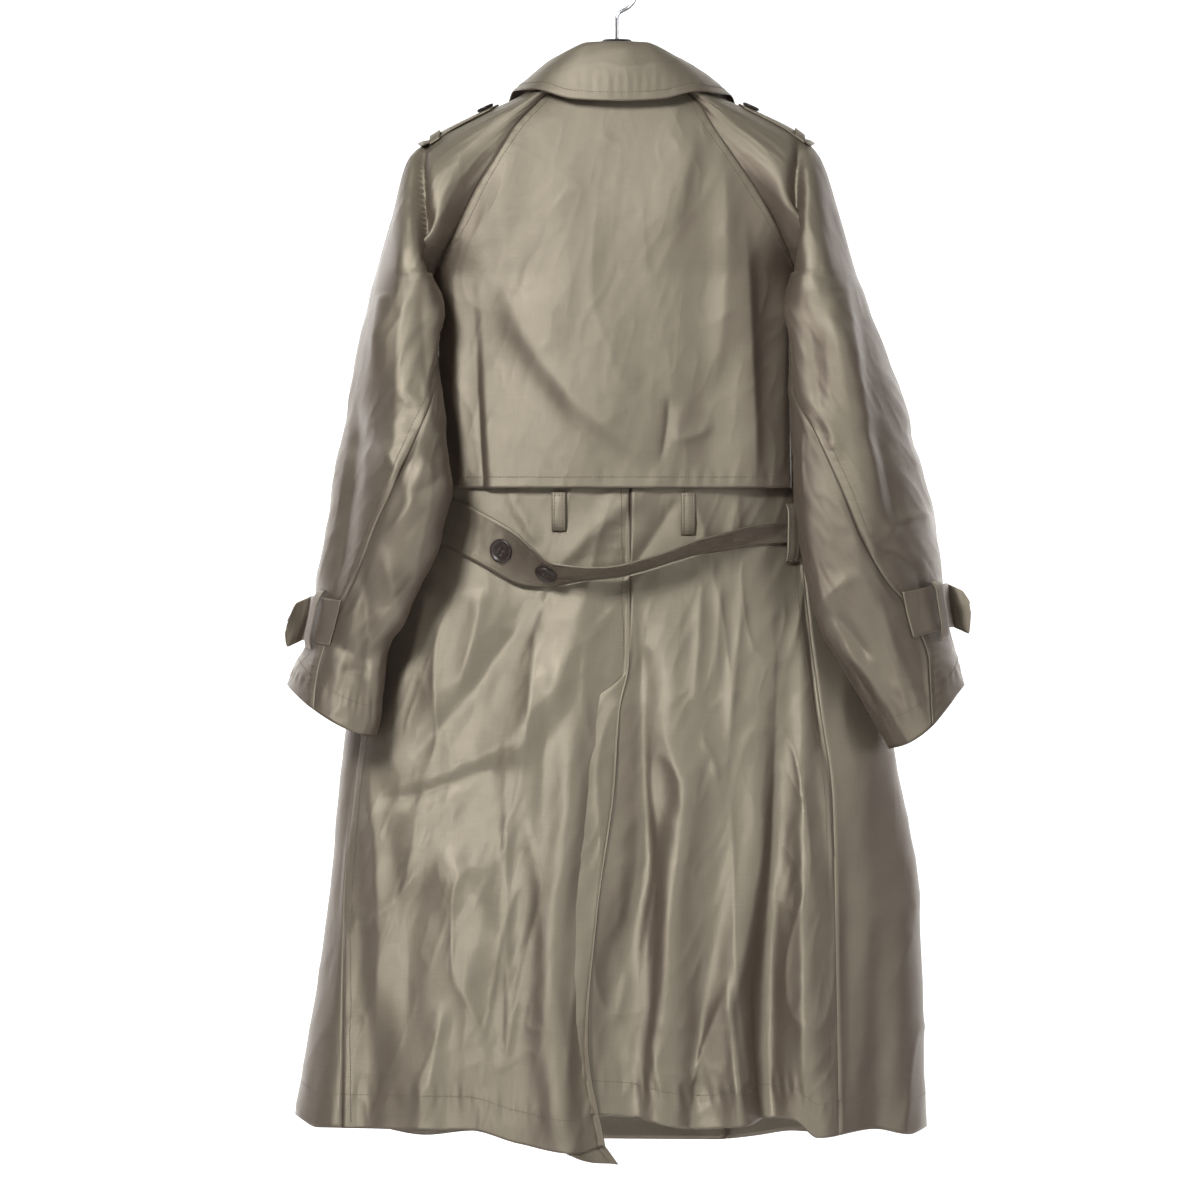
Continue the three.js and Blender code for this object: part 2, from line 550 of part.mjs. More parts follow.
// Storm flap, the back's own points moved out
function stormFlap() {
  const drops = SEAM_DROPS.concat([335, 375, 420, 470, FLAP_HEM]);
  const columns = spread(2 * PANEL_COLUMNS);
  const pointAt = (u, drop) => {
    const side = u < 0.5 ? 'left' : 'right';
    const arm = ARMS[side];
    const inset = 1 - 0.06 * ease(UNDERARM - 23, UNDERARM + 60, drop);
    const seam = backAngle(inset * arm.sign * bodySize(arm.seam, drop), drop);
    const middle = backAngle(CENTRE_BACK, drop);
    const angle = mix(seam, middle, u < 0.5 ? 2 * u : 2 - 2 * u);
    const across = -bodyPoint(angle, drop).x;
    const free = ease(UNDERARM - 20, FLAP_HEM, drop);
    const folded = ease(-140, -112, across) * 3;
    const lift = LAYER + 1 + free * (0.6 + folded);
    const sewn = (u === 0 || u === 1) && drop < UNDERARM;
    if (!sewn) return bodyPoint(angle, drop, lift);
    const normal = bodyPoint(angle, drop, 1).sub(bodyPoint(angle, drop));
    const mitre = seamNormal(arm, true, drop);
    const lean = mitre.dot(normal);
    return bodyPoint(angle, drop).addScaledVector(mitre, (LAYER + 1) / (Math.sign(lean) * Math.max(0.6, Math.abs(lean))));
  };
  const grid = makeGrid(columns, drops, pointAt);
  addSheet('storm_flap', grid, {
    trim: { first: SEAM_GAP, last: SEAM_GAP },
    firstLift: raglanLifts(ARMS.left, true, drops),
    lastLift: raglanLifts(ARMS.right, true, drops),
  });
}

// Front panels, the right one over the left one below the break point
function frontEdge(side, drop) {
  const toward = side === 'left' ? 1 : -1;
  const fall = clamp01((drop - FRONT_TOP) / (BREAK_POINT - FRONT_TOP));
  const flare = 36 * ease(WAIST, HEM_LEVEL, drop);
  return toward * (mix(-56, FRONT_LAP, fall) + flare);
}

function frontPanel(side) {
  const arm = ARMS[side];
  const drops = [FRONT_TOP, ...SEAM_DROPS.filter((drop) => drop > FRONT_TOP), ...BODY_DROPS];
  const pointAt = (u, level) => {
    const seam = arm.sign * bodySize(arm.seam, level);
    const above = level < UNDERARM;
    const seamAt = above ? frontAngle(seam, level) : backAngle(seam, level);
    const edgeAt = frontAngle(frontEdge(side, level), level);
    const start = seamAt < 0 ? seamAt + 2 * Math.PI : seamAt;
    const angle = mix(start, edgeAt, u);
    const across = -bodyPoint(angle, level).x;
    const drop = skirtDrop(level, between(HEM_FRONT, 'across', 'drop', across));
    const over = side === 'right' ? RIGHT_FRONT_OUT * ease(195, 135, across) * ease(133, 200, level) * ease(0, 0.4, u) : 0;
    return bodyPoint(angle, drop, over);
  };
  const grid = makeGrid(spread(PANEL_COLUMNS + 1), drops, pointAt);
  addSheet(`front_${side}`, grid, {
    trim: { first: SEAM_GAP * 0.6 },
    firstLift: raglanLifts(arm, false, drops),
    finish: 'clothShade',
  });
}

// Lapels, the fronts' points moved out and fanned from the roll line
function lapel(side) {
  const toward = side === 'left' ? -1 : 1;
  const start = 150;
  const end = BREAK_POINT - 12;
  const base = side === 'right' ? RIGHT_FRONT_OUT + LAYER : LAYER;
  const wide = side === 'left' ? 78 : 82;
  const pointAt = (u, v) => {
    const drop = mix(start, end, v);
    const spreadOut = Math.min(1, (1 - v) * 1.15) * wide;
    const across = frontEdge(side, drop) + toward * (1 + u * spreadOut + 1);
    const level = drop + u * mix(8, 26, v) * (1 - v);
    const seam = bodySize(ARMS[side].seam, level);
    const overSeam = 7.5 * ease(seam - 30, seam, Math.abs(across));
    const lift = base + 1.6 * ease(0, 0.3, u) + overSeam;
    return bodyPoint(frontAngle(across, level), level, lift);
  };
  const grid = makeGrid(spread(5), spread(9).map((v) => v * 0.97), pointAt);
  addSheet(`lapel_${side}`, grid, { finish: 'clothShade' });
}

// Sleeves
const SLEEVE_DROPS = [340, 375, 410, 445, 480, 520, 555, 590, 625, 655, 682, 708, 737, 766];

function sleeveDrops(arm) {
  const end = arm.rows[arm.rows.length - 1].drop;
  const last = SLEEVE_DROPS[SLEEVE_DROPS.length - 1];
  const stretched = SLEEVE_DROPS.map((drop) => mix(UNDERARM, end, (drop - UNDERARM) / (last - UNDERARM)));
  return [...SEAM_DROPS, ...stretched];
}

function armSeamTurn(arm, drop) {
  if (drop < UNDERARM) return 1;
  return between(arm.rows, 'drop', 'seam', drop) / 180;
}

function frontSeamTurn(drop) {
  if (drop < UNDERARM) return -1;
  return mix(-174, FRONT_ARM_SEAM, ease(UNDERARM, 420, drop)) / 180;
}

// The deep fold from the shoulder's point down to the underarm, where the
// sleeve's hanging part laps over the flat part beside the raglan seam.
const SHOULDER_FOLD = [
  { drop: 186, left: 0.1, right: 0.22, deep: 0, proud: 0 },
  { drop: 214, left: 0.27, right: 0.46, deep: 6, proud: 2 },
  { drop: 236, left: 0.43, right: 0.62, deep: 9, proud: 4 },
  { drop: 259, left: 0.6, right: 0.76, deep: 10, proud: 6 },
  { drop: 283, left: 0.74, right: 0.86, deep: 10, proud: 8 },
  { drop: 306, left: 0.84, right: 0.93, deep: 8, proud: 9 },
  { drop: 340, left: 0.93, right: 0.98, deep: 0, proud: 9 },
  { drop: 400, left: 1, right: 1, deep: 0, proud: 4 },
  { drop: 440, left: 1, right: 1, deep: 0, proud: 0 },
];
const FOLD_HALF_WIDTH = 0.1;
const PROUD_HALF_WIDTH = 0.2;
const SEAM_FADE = 0.12;

function shoulderFold(side, turn, drop) {
  const row = (column) => between(SHOULDER_FOLD, 'drop', column, drop);
  const sunk = (turn - row(side)) / FOLD_HALF_WIDTH;
  const raised = (turn - row(side) + PROUD_HALF_WIDTH) / PROUD_HALF_WIDTH;
  return row('proud') * Math.exp(-raised * raised) - row('deep') * Math.exp(-sunk * sunk);
}

function sleevePiece(side, part) {
  const arm = ARMS[side];
  const upper = part === 'upper';
  const drops = sleeveDrops(arm).filter((drop) => upper || drop >= UNDERARM);
  const pointAt = (u, drop) => {
    const back = armSeamTurn(arm, drop);
    const front = frontSeamTurn(drop);
    const turn = upper ? mix(back, front, u) : mix(front + 2, back, u);
    const limited = turn > 1 ? turn - 2 : turn;
    const lift = upper ? shoulderFold(side, limited, drop) * ease(0, SEAM_FADE, back - limited) : 0;
    return sleevePoint(arm, turn, drop, lift);
  };
  const grid = makeGrid(spread(upper ? 18 : 7), drops, pointAt);
  const lifts = (turnAt, back) => drops.map((drop) => {
    const sewn = upper && drop < UNDERARM;
    return sewn ? seamNormal(arm, back, drop) : sleeveNormal(arm, turnAt(drop), drop);
  });
  const backLifts = lifts((drop) => armSeamTurn(arm, drop), true);
  const frontLifts = lifts(frontSeamTurn, false);
  const half = SEAM_GAP * (upper ? 0.7 : 1.2);
  addSheet(`sleeve_${part}_${side}`, grid, {
    trim: { first: half, last: half, top: upper ? 0 : 4 * SEAM_GAP },
    finish: upper ? 'cloth' : 'clothShade',
    firstLift: upper ? backLifts : frontLifts,
    lastLift: upper ? frontLifts : backLifts,
  });
}

// Collar: a stand and a leaf round the neck
function collarPoint(turn, w) {
  const away = Math.abs(turn);
  const side = Math.sign(turn);
  const coordinate = (name, k) => {
    const rows = COLLAR.map((row) => ({ turn: row.turn, value: row[name][k] }));
    return between(rows, 'turn', 'value', away);
  };
  const skewed = side > 0 ? 0.1 * ease(0.2, 0.6, away) : 0;
  const low = side > 0 ? 4 * ease(0.3, 0.5, away) : 0;
  const foot = place(side * coordinate('foot', 0), coordinate('foot', 1), coordinate('foot', 2));
  const roll = place(side * coordinate('roll', 0), coordinate('roll', 1), coordinate('roll', 2));
  const edgeAcross = coordinate('edge', 0) * (1 + skewed);
  const edge = place(side * edgeAcross, coordinate('edge', 1), coordinate('edge', 2) + low);
  if (w <= 0) return foot.lerp(roll, 1 + w);
  const belly = new THREE.Vector3().lerpVectors(roll, edge, 0.35);
  belly.z += 0.3 * (roll.z - edge.z);
  const curve = new THREE.QuadraticBezierCurve3(roll, belly, edge);
  return curve.getPoint(w);
}

function collar() {
  const turns = spread(20).map((u) => 2 * u - 1);
  const standGrid = makeGrid(turns, [0, 0.25, 0.5, 0.75, 1], (turn, v) => collarPoint(turn, v - 1));
  addSheet('collar_stand', standGrid);
  const leafGrid = makeGrid(turns, spread(6), (turn, v) => collarPoint(turn, Math.max(v, 0.0001)));
  addSheet('collar_leaf', leafGrid, { trim: { top: 2 } });
}

// Straps made from a row of points: middle line, width direction and half width
function stripGrid(stations, widthSteps) {
  return stations.map((station) => spread(widthSteps).map((v) => {
    const reach = (2 * v - 1) * station.half;
    return station.middle.clone().addScaledVector(station.along, reach);
  }));
}

// Epaulettes: a strap on the shoulder ridge, its loop and its button
function epaulette(side) {
  const arm = ARMS[side];
  const start = 143;
  const end = 200;
  const grid = spread(9).map((u) => {
    const drop = mix(start, end, u);
    const normal = ridgeNormal(arm, drop);
    const half = mix(17, 22, u) * (u < 0.08 ? 0.6 : 1);
    const lift = LAYER + 0.7 + 3 * ease(0.78, 1, u);
    const { deep, limit } = sleeveSection(arm, drop);
    return spread(4).map((v) => {
      const reach = (2 * v - 1) * half;
      const point = sleevePoint(arm, Math.asin(reach / deep) / limit, drop).addScaledVector(normal, lift);
      const bridge = sleevePoint(arm, 0, drop).addScaledVector(normal, lift);
      bridge.y += reach;
      bridge.z -= 3 * (reach / half) ** 2;
      return point.z > bridge.z ? point : bridge;
    });
  });
  addSheet(`epaulette_${side}`, grid, { thickness: STRAP });
  const loopStations = spread(8).map((u) => {
    const reach = 2 * u - 1;
    const ridge = sleevePoint(arm, 0, 181, 0);
    const normal = ridgeNormal(arm, 181);
    const along = sleevePoint(arm, 0, 186, 0).sub(sleevePoint(arm, 0, 176, 0)).normalize();
    const middle = ridge.addScaledVector(normal, LOOP_RISE);
    middle.y += reach * 27;
    middle.z -= 9 * Math.pow(Math.abs(reach), 4);
    return { middle, along, half: 6 };
  });
  addSheet(`epaulette_loop_${side}`, stripGrid(loopStations, 2), { thickness: CLOTH });
  const seatDrop = 150;
  const normal = ridgeNormal(arm, seatDrop);
  const seat = sleevePoint(arm, 0, seatDrop, 0).addScaledVector(normal, LAYER + 0.7 + STRAP / 2 + SEAM_GAP);
  addButton(`epaulette_button_${side}`, seat, normal, 9);
}

function ridgeNormal(arm, drop) {
  const along = sleevePoint(arm, 0, drop + 6, 0).sub(sleevePoint(arm, 0, drop - 6, 0)).normalize();
  const normal = new THREE.Vector3(0, 1, 0).cross(along).normalize();
  return normal.z < 0 ? normal.negate() : normal;
}

// A button with a raised rim and a dished face, four holes left to its finish
function buttonGeometry(radius) {
  const profile = [
    [0, 0], [radius * 0.86, 0], [radius, 1.2], [radius * 0.94, 3], [radius * 0.74, 3.1],
    [radius * 0.62, 2.1], [0, 1.9],
  ].map(([x, y]) => new THREE.Vector2(x, y));
  return new THREE.LatheGeometry(profile, 12);
}

function addButton(name, seat, normal, radius) {
  const geometry = buttonGeometry(radius);
  geometry.deleteAttribute('uv');
  geometry.deleteAttribute('normal');
  const merged = facingOut(BufferGeometryUtils.mergeVertices(geometry, 1e-4));
  const mesh = addMesh(name, merged, 'button');
  mesh.quaternion.setFromUnitVectors(new THREE.Vector3(0, 1, 0), normal);
  mesh.position.copy(seat);
}

// Cuff straps: points of the sleeve moved out, with a free tip at the outer edge
function cuffStrap(side) {
  const arm = ARMS[side];
  const high = 640;
  const tall = 44;
  const tipAt = 0.62;
  const start = armSeamTurn(arm, high + tall / 2) + 0.02;
  const grid = spread(10).map((u) => spread(3).map((v) => {
    const past = Math.max(0, u - tipAt) / (1 - tipAt);
    const point = Math.max(0, past - 0.7) / 0.3;
    const height = mix(v, 0.5, 0.75 * point * point);
    const turn = mix(start, -0.06, Math.min(1, u / tipAt));
    const drop = high + height * tall;
    const lift = LAYER + 0.5 + 2.4 * ease(0.02, 0.2, u);
    const p = sleevePoint(arm, turn, drop, lift);
    p.x += -arm.sign * past * 22;
    p.y += past * 8;
    p.z -= past * 10;
    return p;
  }));
  addSheet(`cuff_strap_${side}`, grid, { thickness: STRAP });
  const loopTurn = 0.2;
  const loopStations = spread(6).map((u) => {
    const drop = mix(high - 8, high + tall + 8, u);
    const lift = 8 - 5.8 * Math.pow(Math.abs(2 * u - 1), 4);
    const middle = sleevePoint(arm, loopTurn, drop, lift);
    const along = sleevePoint(arm, loopTurn + 0.05, drop, lift).sub(middle).normalize();
    return { middle, along, half: 6.5 };
  });
  addSheet(`cuff_loop_${side}`, stripGrid(loopStations, 2), { thickness: CLOTH });
}

// Belt loops
function beltLoop(name, across, top, bottom, rise, round) {
  const stations = spread(6).map((u) => {
    const drop = mix(top, bottom, u);
    const lift = LAYER + 0.2 + rise * (1 - Math.pow(Math.abs(2 * u - 1), round));
    const angle = backAngle(across, drop);
    const middle = bodyPoint(angle, drop, lift);
    const aside = bodyPoint(backAngle(across + 4, drop), drop, lift);
    return { middle, along: aside.sub(middle).normalize(), half: 7 };
  });
  addSheet(name, stripGrid(stations, 2), { thickness: CLOTH });
}

// Belt, one strap that follows the body and twists where it sags
function beltStations(count) {
  const rows = BELT.map((row, i) => {
    const angle = row.front ? frontAngle(row.across, row.drop) : backAngle(row.across, row.drop);
    const wrapped = row.front && row.across < 0 ? angle - 2 * Math.PI : angle;
    return { ...row, step: i, angle: wrapped };
  });
  const size = (column, step) => between(rows, 'step', column, step);
  const middleAt = (step, extra) => bodyPoint(size('angle', step), size('drop', step), size('lift', step) + extra);
  return spread(count).map((u) => {
    const step = u * (rows.length - 1);
    const middle = middleAt(step, 0);
    const normal = bodyNormal(size('angle', step), size('drop', step));
    const next = middleAt(Math.min(step + 0.1, rows.length - 1), 0);
    const tangent = next.sub(middleAt(Math.max(step - 0.1, 0), 0)).normalize();
    const width = new THREE.Vector3().crossVectors(tangent, normal).normalize();
    width.applyAxisAngle(tangent, THREE.MathUtils.degToRad(size('twist', step)));
    const face = new THREE.Vector3().crossVectors(width, tangent).normalize();
    return { middle, along: width, face, half: size('half', step), across: -middle.x, step };
  });
}

function belt() {
  addSheet('belt', stripGrid(beltStations(66), 3), { thickness: STRAP });
  const fine = beltStations(400).filter((station) => station.step > 6 && station.step < 19);
  [-115, -70].forEach((across, i) => {
    const away = (station) => Math.abs(station.across - across);
    const station = fine.reduce((best, other) => (away(other) < away(best) ? other : best));
    const face = station.face.y < 0 ? station.face.clone().negate() : station.face;
    const seat = station.middle.clone().addScaledVector(face, STRAP / 2 + SEAM_GAP + 0.5);
    addButton(`belt_button_${i + 1}`, seat, face, 12);
  });
}

// Hanger: arms joined with the head, and a wire hook
function solidOf(geometry) {
  const bare = geometry.clone();
  bare.deleteAttribute('normal');
  bare.deleteAttribute('uv');
  const merged = BufferGeometryUtils.mergeVertices(bare, 1e-4);
  return new wasm.Manifold(new wasm.Mesh({
    numProp: 3,
    vertProperties: new Float32Array(merged.getAttribute('position').array),
    triVerts: new Uint32Array(merged.getIndex().array),
  }));
}

function hanger() {
  const armPath = new THREE.CatmullRomCurve3([
    place(-178, 0, 176.8), place(-139, 0, 159.2), place(-95, 0, 140), place(-48, 0, 128),
    place(0, 0, 123.5),
    place(48, 0, 128), place(95, 0, 140), place(139, 0, 157.6), place(178, 0, 176),
  ]);
  const section = new THREE.Shape();
  section.absellipse(0, 0, 7, 10, 0, 2 * Math.PI, false);
  const arms = new THREE.ExtrudeGeometry(section, { steps: 22, curveSegments: 5, extrudePath: armPath });
  const head = new THREE.LatheGeometry([
    new THREE.Vector2(0, -128), new THREE.Vector2(15, -128), new THREE.Vector2(17, -120),
    new THREE.Vector2(17, -72), new THREE.Vector2(13, -66), new THREE.Vector2(0, -66),
  ], 16);
  head.rotateX(Math.PI / 2);
  const joined = solidOf(arms).add(solidOf(head)).getMesh();
  const geometry = new THREE.BufferGeometry();
  geometry.setAttribute('position', new THREE.Float32BufferAttribute(joined.vertProperties, 3));
  geometry.setIndex(Array.from(joined.triVerts));
  addMesh('hanger', facingOut(geometry), 'hanger');

  const wire = 2;
  const ring = 20;
  const centre = ring - wire;
  const hookPoints = [place(0, 0, 66 - SEAM_GAP), place(0, 0, 54), place(0, 0, centre + ring + 6)];
  for (let step = 0; step <= 12; step += 1) {
    const angle = THREE.MathUtils.degToRad(mix(-70, 170, step / 12));
    hookPoints.push(place(ring * Math.cos(angle), 0, centre - ring * Math.sin(angle)));
  }
  const hookPath = new THREE.CatmullRomCurve3(hookPoints, false, 'centripetal');
  const round = new THREE.Shape();
  round.absarc(0, 0, wire, 0, 2 * Math.PI, false);
  const hook = new THREE.ExtrudeGeometry(round, { steps: 26, curveSegments: 4, extrudePath: hookPath });
  addMesh('hanger_hook', hook, 'wire');
}

// Vent facing, the left panel's own edge points moved in. Its loose corner
// hangs below the hem and past the edge.
const FACING_CORNER = { past: 13, hanging: 18 };
const FACING_START = { past: 4, hanging: 2 };

function ventFacing(panelPoint) {
  const rows = [1060, 1110, HEM_LEVEL, HEM_LEVEL + 1];
  const pointAt = (u, level) => {
    const point = panelPoint(u, Math.min(level, HEM_LEVEL));
    const loose = u < 1 ? FACING_START : FACING_CORNER;
    point.y -= LAYER + 0.3;
    if (level > HEM_LEVEL) {
      point.x -= loose.past;
      point.z -= loose.hanging;
    }
    return point;
  };
  const columns = [1 - 1 / PANEL_COLUMNS, 1];
  addSheet('vent_facing', makeGrid(columns, rows, pointAt), { finish: 'clothShade', trim: { last: 1.5 } });
}

function frontButtons() {
  const columns = [-52, 52];
  const drops = [420, 530, 640];
  let count = 0;
  for (const drop of drops) {
    for (const across of columns) {
      count += 1;
      const lift = RIGHT_FRONT_OUT + CLOTH / 2 + SEAM_GAP + (drop > 600 ? 0.8 : 0.1);
      const angle = frontAngle(across, drop);
      const seat = bodyPoint(angle, drop, lift);
      const normal = bodyPoint(angle, drop, lift + 1).sub(seat).normalize();
      addButton(`front_button_${count}`, seat, normal, 12);
    }
  }
}

const leftPanelPoint = backPanel('left');
backPanel('right');
stormFlap();
ventFacing(leftPanelPoint);
frontPanel('left');
frontPanel('right');
lapel('left');
lapel('right');
for (const side of ['left', 'right']) {
  sleevePiece(side, 'upper');
  sleevePiece(side, 'under');
  epaulette(side);
  cuffStrap(side);
}
collar();
beltLoop('belt_loop_1', -58, 522, 561, 3, 3);
beltLoop('belt_loop_2', 71, 522, 565, 3, 3);
beltLoop('side_loop_left', -190, 519, 582, 5.6, 6);
beltLoop('side_loop_right', 174, 534, 592, 5.6, 6);
belt();
frontButtons();
hanger();

export default coat;
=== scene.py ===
"""A trench coat hanging on a plain hanger, seen from its back.

Tables are in millimetres, as the coat is cut: across is the distance to the
wearer's right, depth the distance to the back and drop the distance below the
hook's inside top. Every mesh is made in metres, in the part's own frame.
"""
import json
import logging
import math
from dataclasses import dataclass
from enum import Enum
from typing import Callable, Optional, Sequence

import bpy
import numpy as np
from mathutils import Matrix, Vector

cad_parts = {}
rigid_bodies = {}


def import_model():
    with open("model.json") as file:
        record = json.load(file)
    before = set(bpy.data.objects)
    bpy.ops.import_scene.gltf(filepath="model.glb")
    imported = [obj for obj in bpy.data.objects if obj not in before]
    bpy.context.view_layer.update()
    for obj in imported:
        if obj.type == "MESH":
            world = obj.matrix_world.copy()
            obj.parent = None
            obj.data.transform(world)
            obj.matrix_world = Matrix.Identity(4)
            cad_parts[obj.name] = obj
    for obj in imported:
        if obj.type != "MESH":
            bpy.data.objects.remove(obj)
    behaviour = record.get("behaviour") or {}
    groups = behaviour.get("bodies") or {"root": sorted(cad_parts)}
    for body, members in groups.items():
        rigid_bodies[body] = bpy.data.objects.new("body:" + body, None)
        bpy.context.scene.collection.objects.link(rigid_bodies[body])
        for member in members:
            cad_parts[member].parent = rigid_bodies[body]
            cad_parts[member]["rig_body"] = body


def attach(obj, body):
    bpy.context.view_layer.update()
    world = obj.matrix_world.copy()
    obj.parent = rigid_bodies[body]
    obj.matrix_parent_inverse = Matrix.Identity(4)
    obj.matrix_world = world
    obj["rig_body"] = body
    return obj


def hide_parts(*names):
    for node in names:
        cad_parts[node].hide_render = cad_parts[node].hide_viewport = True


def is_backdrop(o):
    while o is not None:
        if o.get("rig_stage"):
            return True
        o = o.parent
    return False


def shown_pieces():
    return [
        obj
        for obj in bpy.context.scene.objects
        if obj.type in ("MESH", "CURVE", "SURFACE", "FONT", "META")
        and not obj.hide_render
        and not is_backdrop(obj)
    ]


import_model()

Grid = np.ndarray
LOG = logging.getLogger("coat")
MM = 0.001
TURN = 2 * math.pi
BACKWARD = np.array([0.0, 1.0, 0.0])
FORWARD = np.array([0.0, -1.0, 0.0])
UPWARD = np.array([0.0, 0.0, 1.0])

# Thicknesses of the cloth and of a doubled strap, the gap at a seam, and the
# step from one layer of cloth to the next.
CLOTH = 1.2
STRAP = 1.6
SEAM_GAP = 0.3
LAYER = CLOTH + SEAM_GAP

# Drops: the tops of back and front, where the lapels end, the underarm, the
# waist, the flap's hem, where the skirt and its finer rows begin, and the hem.
BACK_TOP = 116
FRONT_TOP = 125
UNDERARM = 306
BREAK_POINT = 380
FLAP_HEM = 518
WAIST = 530
SKIRT_START = 740
FAN_START = 1040
HEM_LEVEL = 1158

# The centre-back seam's place across, the fronts' overlap past the middle and
# how far the right front stands off, the hem's depth, the flap's half width,
# and how strongly the cuffs bow between two drops.
CENTRE_BACK = 13
FRONT_LAP = 75
RIGHT_FRONT_OUT = 6
TURN_HEM = 34
FLAP_SEAM = 200
CUFF_START = 640
CUFF_END = 766
CUFF_BOW = 0.8

BUTTON_RADIUS = 12.0
SMALL_BUTTON_RADIUS = 9.0
FRONT_BUTTON_DROPS = (420.0, 530.0, 640.0)


class Side(Enum):
    """The wearer's two sides."""

    LEFT = "left"
    RIGHT = "right"

    @property
    def sign(self) -> int:
        """The sign of its distance across."""
        return -1 if self is Side.LEFT else 1


class Table:
    """Rows of named columns, read smoothly between the rows."""

    def __init__(self, columns: str, rows: Sequence[Sequence[float]]) -> None:
        """Keeps the columns.

        Args:
            columns: the columns' names, the key's first.
            rows: the rows' numbers, sorted by the key.
        """
        values = np.array(rows, float)
        self.key = values[:, 0]
        self.column = dict(zip(columns.split(), values.T))

    def at(self, name: str, where: Grid | float) -> Grid:
        """A column's value between the rows, without overshoot.

        Args:
            name: the column.
            where: the key's values.

        Returns:
            The column's values there.
        """
        x, y = self.key, self.column[name]
        slope = np.diff(y) / np.diff(x)
        both = slope[:-1] * slope[1:]
        total = slope[:-1] + slope[1:]
        middle = np.where(both <= 0, 0, 2 * both / np.where(both > 0, total, 1))
        tangent = np.concatenate((slope[:1], middle, slope[-1:]))
        where = np.clip(where, x[0], x[-1])
        i = np.clip(np.searchsorted(x, where, side="right") - 1, 0, len(x) - 2)
        span = x[i + 1] - x[i]
        t = (where - x[i]) / span
        bend = (3 - 2 * t) * t * t
        rise = ((t - 2) * t + 1) * t * tangent[i] + (t - 1) * t * t * tangent[i + 1]
        return y[i] + (y[i + 1] - y[i]) * bend + rise * span


BODY = Table("drop left right back front round seam_left seam_right", [
    (116, 73, 76, 34, 34, 2.2, 65, 67),
    (133, 110, 112, 39, 39, 2.3, 81, 82),
    (155, 160, 163, 45, 45, 2.4, 102, 96),
    (178, 193, 192, 51, 50, 2.4, 117, 112),
    (214, 210, 203, 58, 56, 2.4, 139, 136),
    (259, 206, 200, 65, 62, 2.2, 161, 162),
    (306, 186, 180, 70, 66, 2.1, 186, 180),
    (340, 188, 184, 73, 69, 2.1, 188, 182),
    (430, 192, 190, 76, 72, 2.1, 190, 180),
    (530, 204, 206, 77, 74, 2.2, 198, 182),
    (630, 234, 235, 82, 80, 2.2, 224, 190),
    (730, 264, 268, 88, 88, 2.2, 251, 202),
    (830, 279, 289, 94, 96, 2.2, 264, 215),
    (930, 293, 301, 100, 102, 2.2, 274, 217),
    (1158, 323, 312, 110, 112, 2.2, 276, 220),
])

# Upright folds: where each runs at its two ends, its width and how far it stands out.
FOLD_COLUMNS = "top bottom at_top at_hem width height"
SKIRT_FOLDS = Table(FOLD_COLUMNS, [
    (700, 1158, -240, -250, 26, -9),
    (860, 1158, -170, -190, 40, 6),
    (560, 1158, -60, -45, 46, 10),
    (640, 1000, 30, 26, 20, -7),
    (700, 1158, 70, 50, 30, 6),
    (900, 1158, 98, 74, 12, -8),
    (820, 1158, 112, 126, 22, 10),
    (600, 1158, 170, 152, 17, -14),
    (640, 1158, 186, 200, 24, 9),
    (900, 1158, 262, 262, 18, -6),
])
FRONT_FOLDS = Table(FOLD_COLUMNS, [
    (600, 1188, -230, -240, 36, 10),
    (600, 1188, -170, -165, 26, -12),
    (700, 1188, -105, -110, 34, 8),
    (700, 1188, 130, 140, 30, -9),
    (600, 1188, 175, 190, 30, 10),
    (640, 1188, 225, 246, 26, -10),
])
HEM_BACK_LEFT = Table("across drop", [
    (-323, 1147),
    (-299, 1159),
    (-148, 1160),
    (-98, 1173),
    (-40, 1183),
    (-9, 1175),
    (14, 1172),
])
HEM_BACK_RIGHT = Table("across drop", [
    (-70, 1142),
    (8, 1146),
    (73, 1159),
    (131, 1156),
    (152, 1148),
    (176, 1150),
    (201, 1168),
    (259, 1160),
    (294, 1166),
    (312, 1159),
])
HEM_FRONT = Table("across drop", [
    (-323, 1147),
    (-299, 1159),
    (-270, 1159),
    (-192, 1171),
    (-150, 1167),
    (-60, 1175),
    (100, 1176),
    (140, 1172),
    (176, 1167),
    (201, 1168),
    (259, 1160),
    (294, 1166),
    (312, 1159),
])
VENT_EDGE = Table("drop over under sink", [
    (116, 13, 13, 0),
    (664, 13, 13, 0),
    (695, 12, 12, 1.7),
    (740, 3, -30, 2.6),
    (819, -3, -38, 3),
    (930, -19, -52, 4),
    (1050, -29, -62, 5),
    (1158, -12, -66, 6),
])
SLEEVE_COLUMNS = "drop inner outer outer_drop deep hang lean seam"
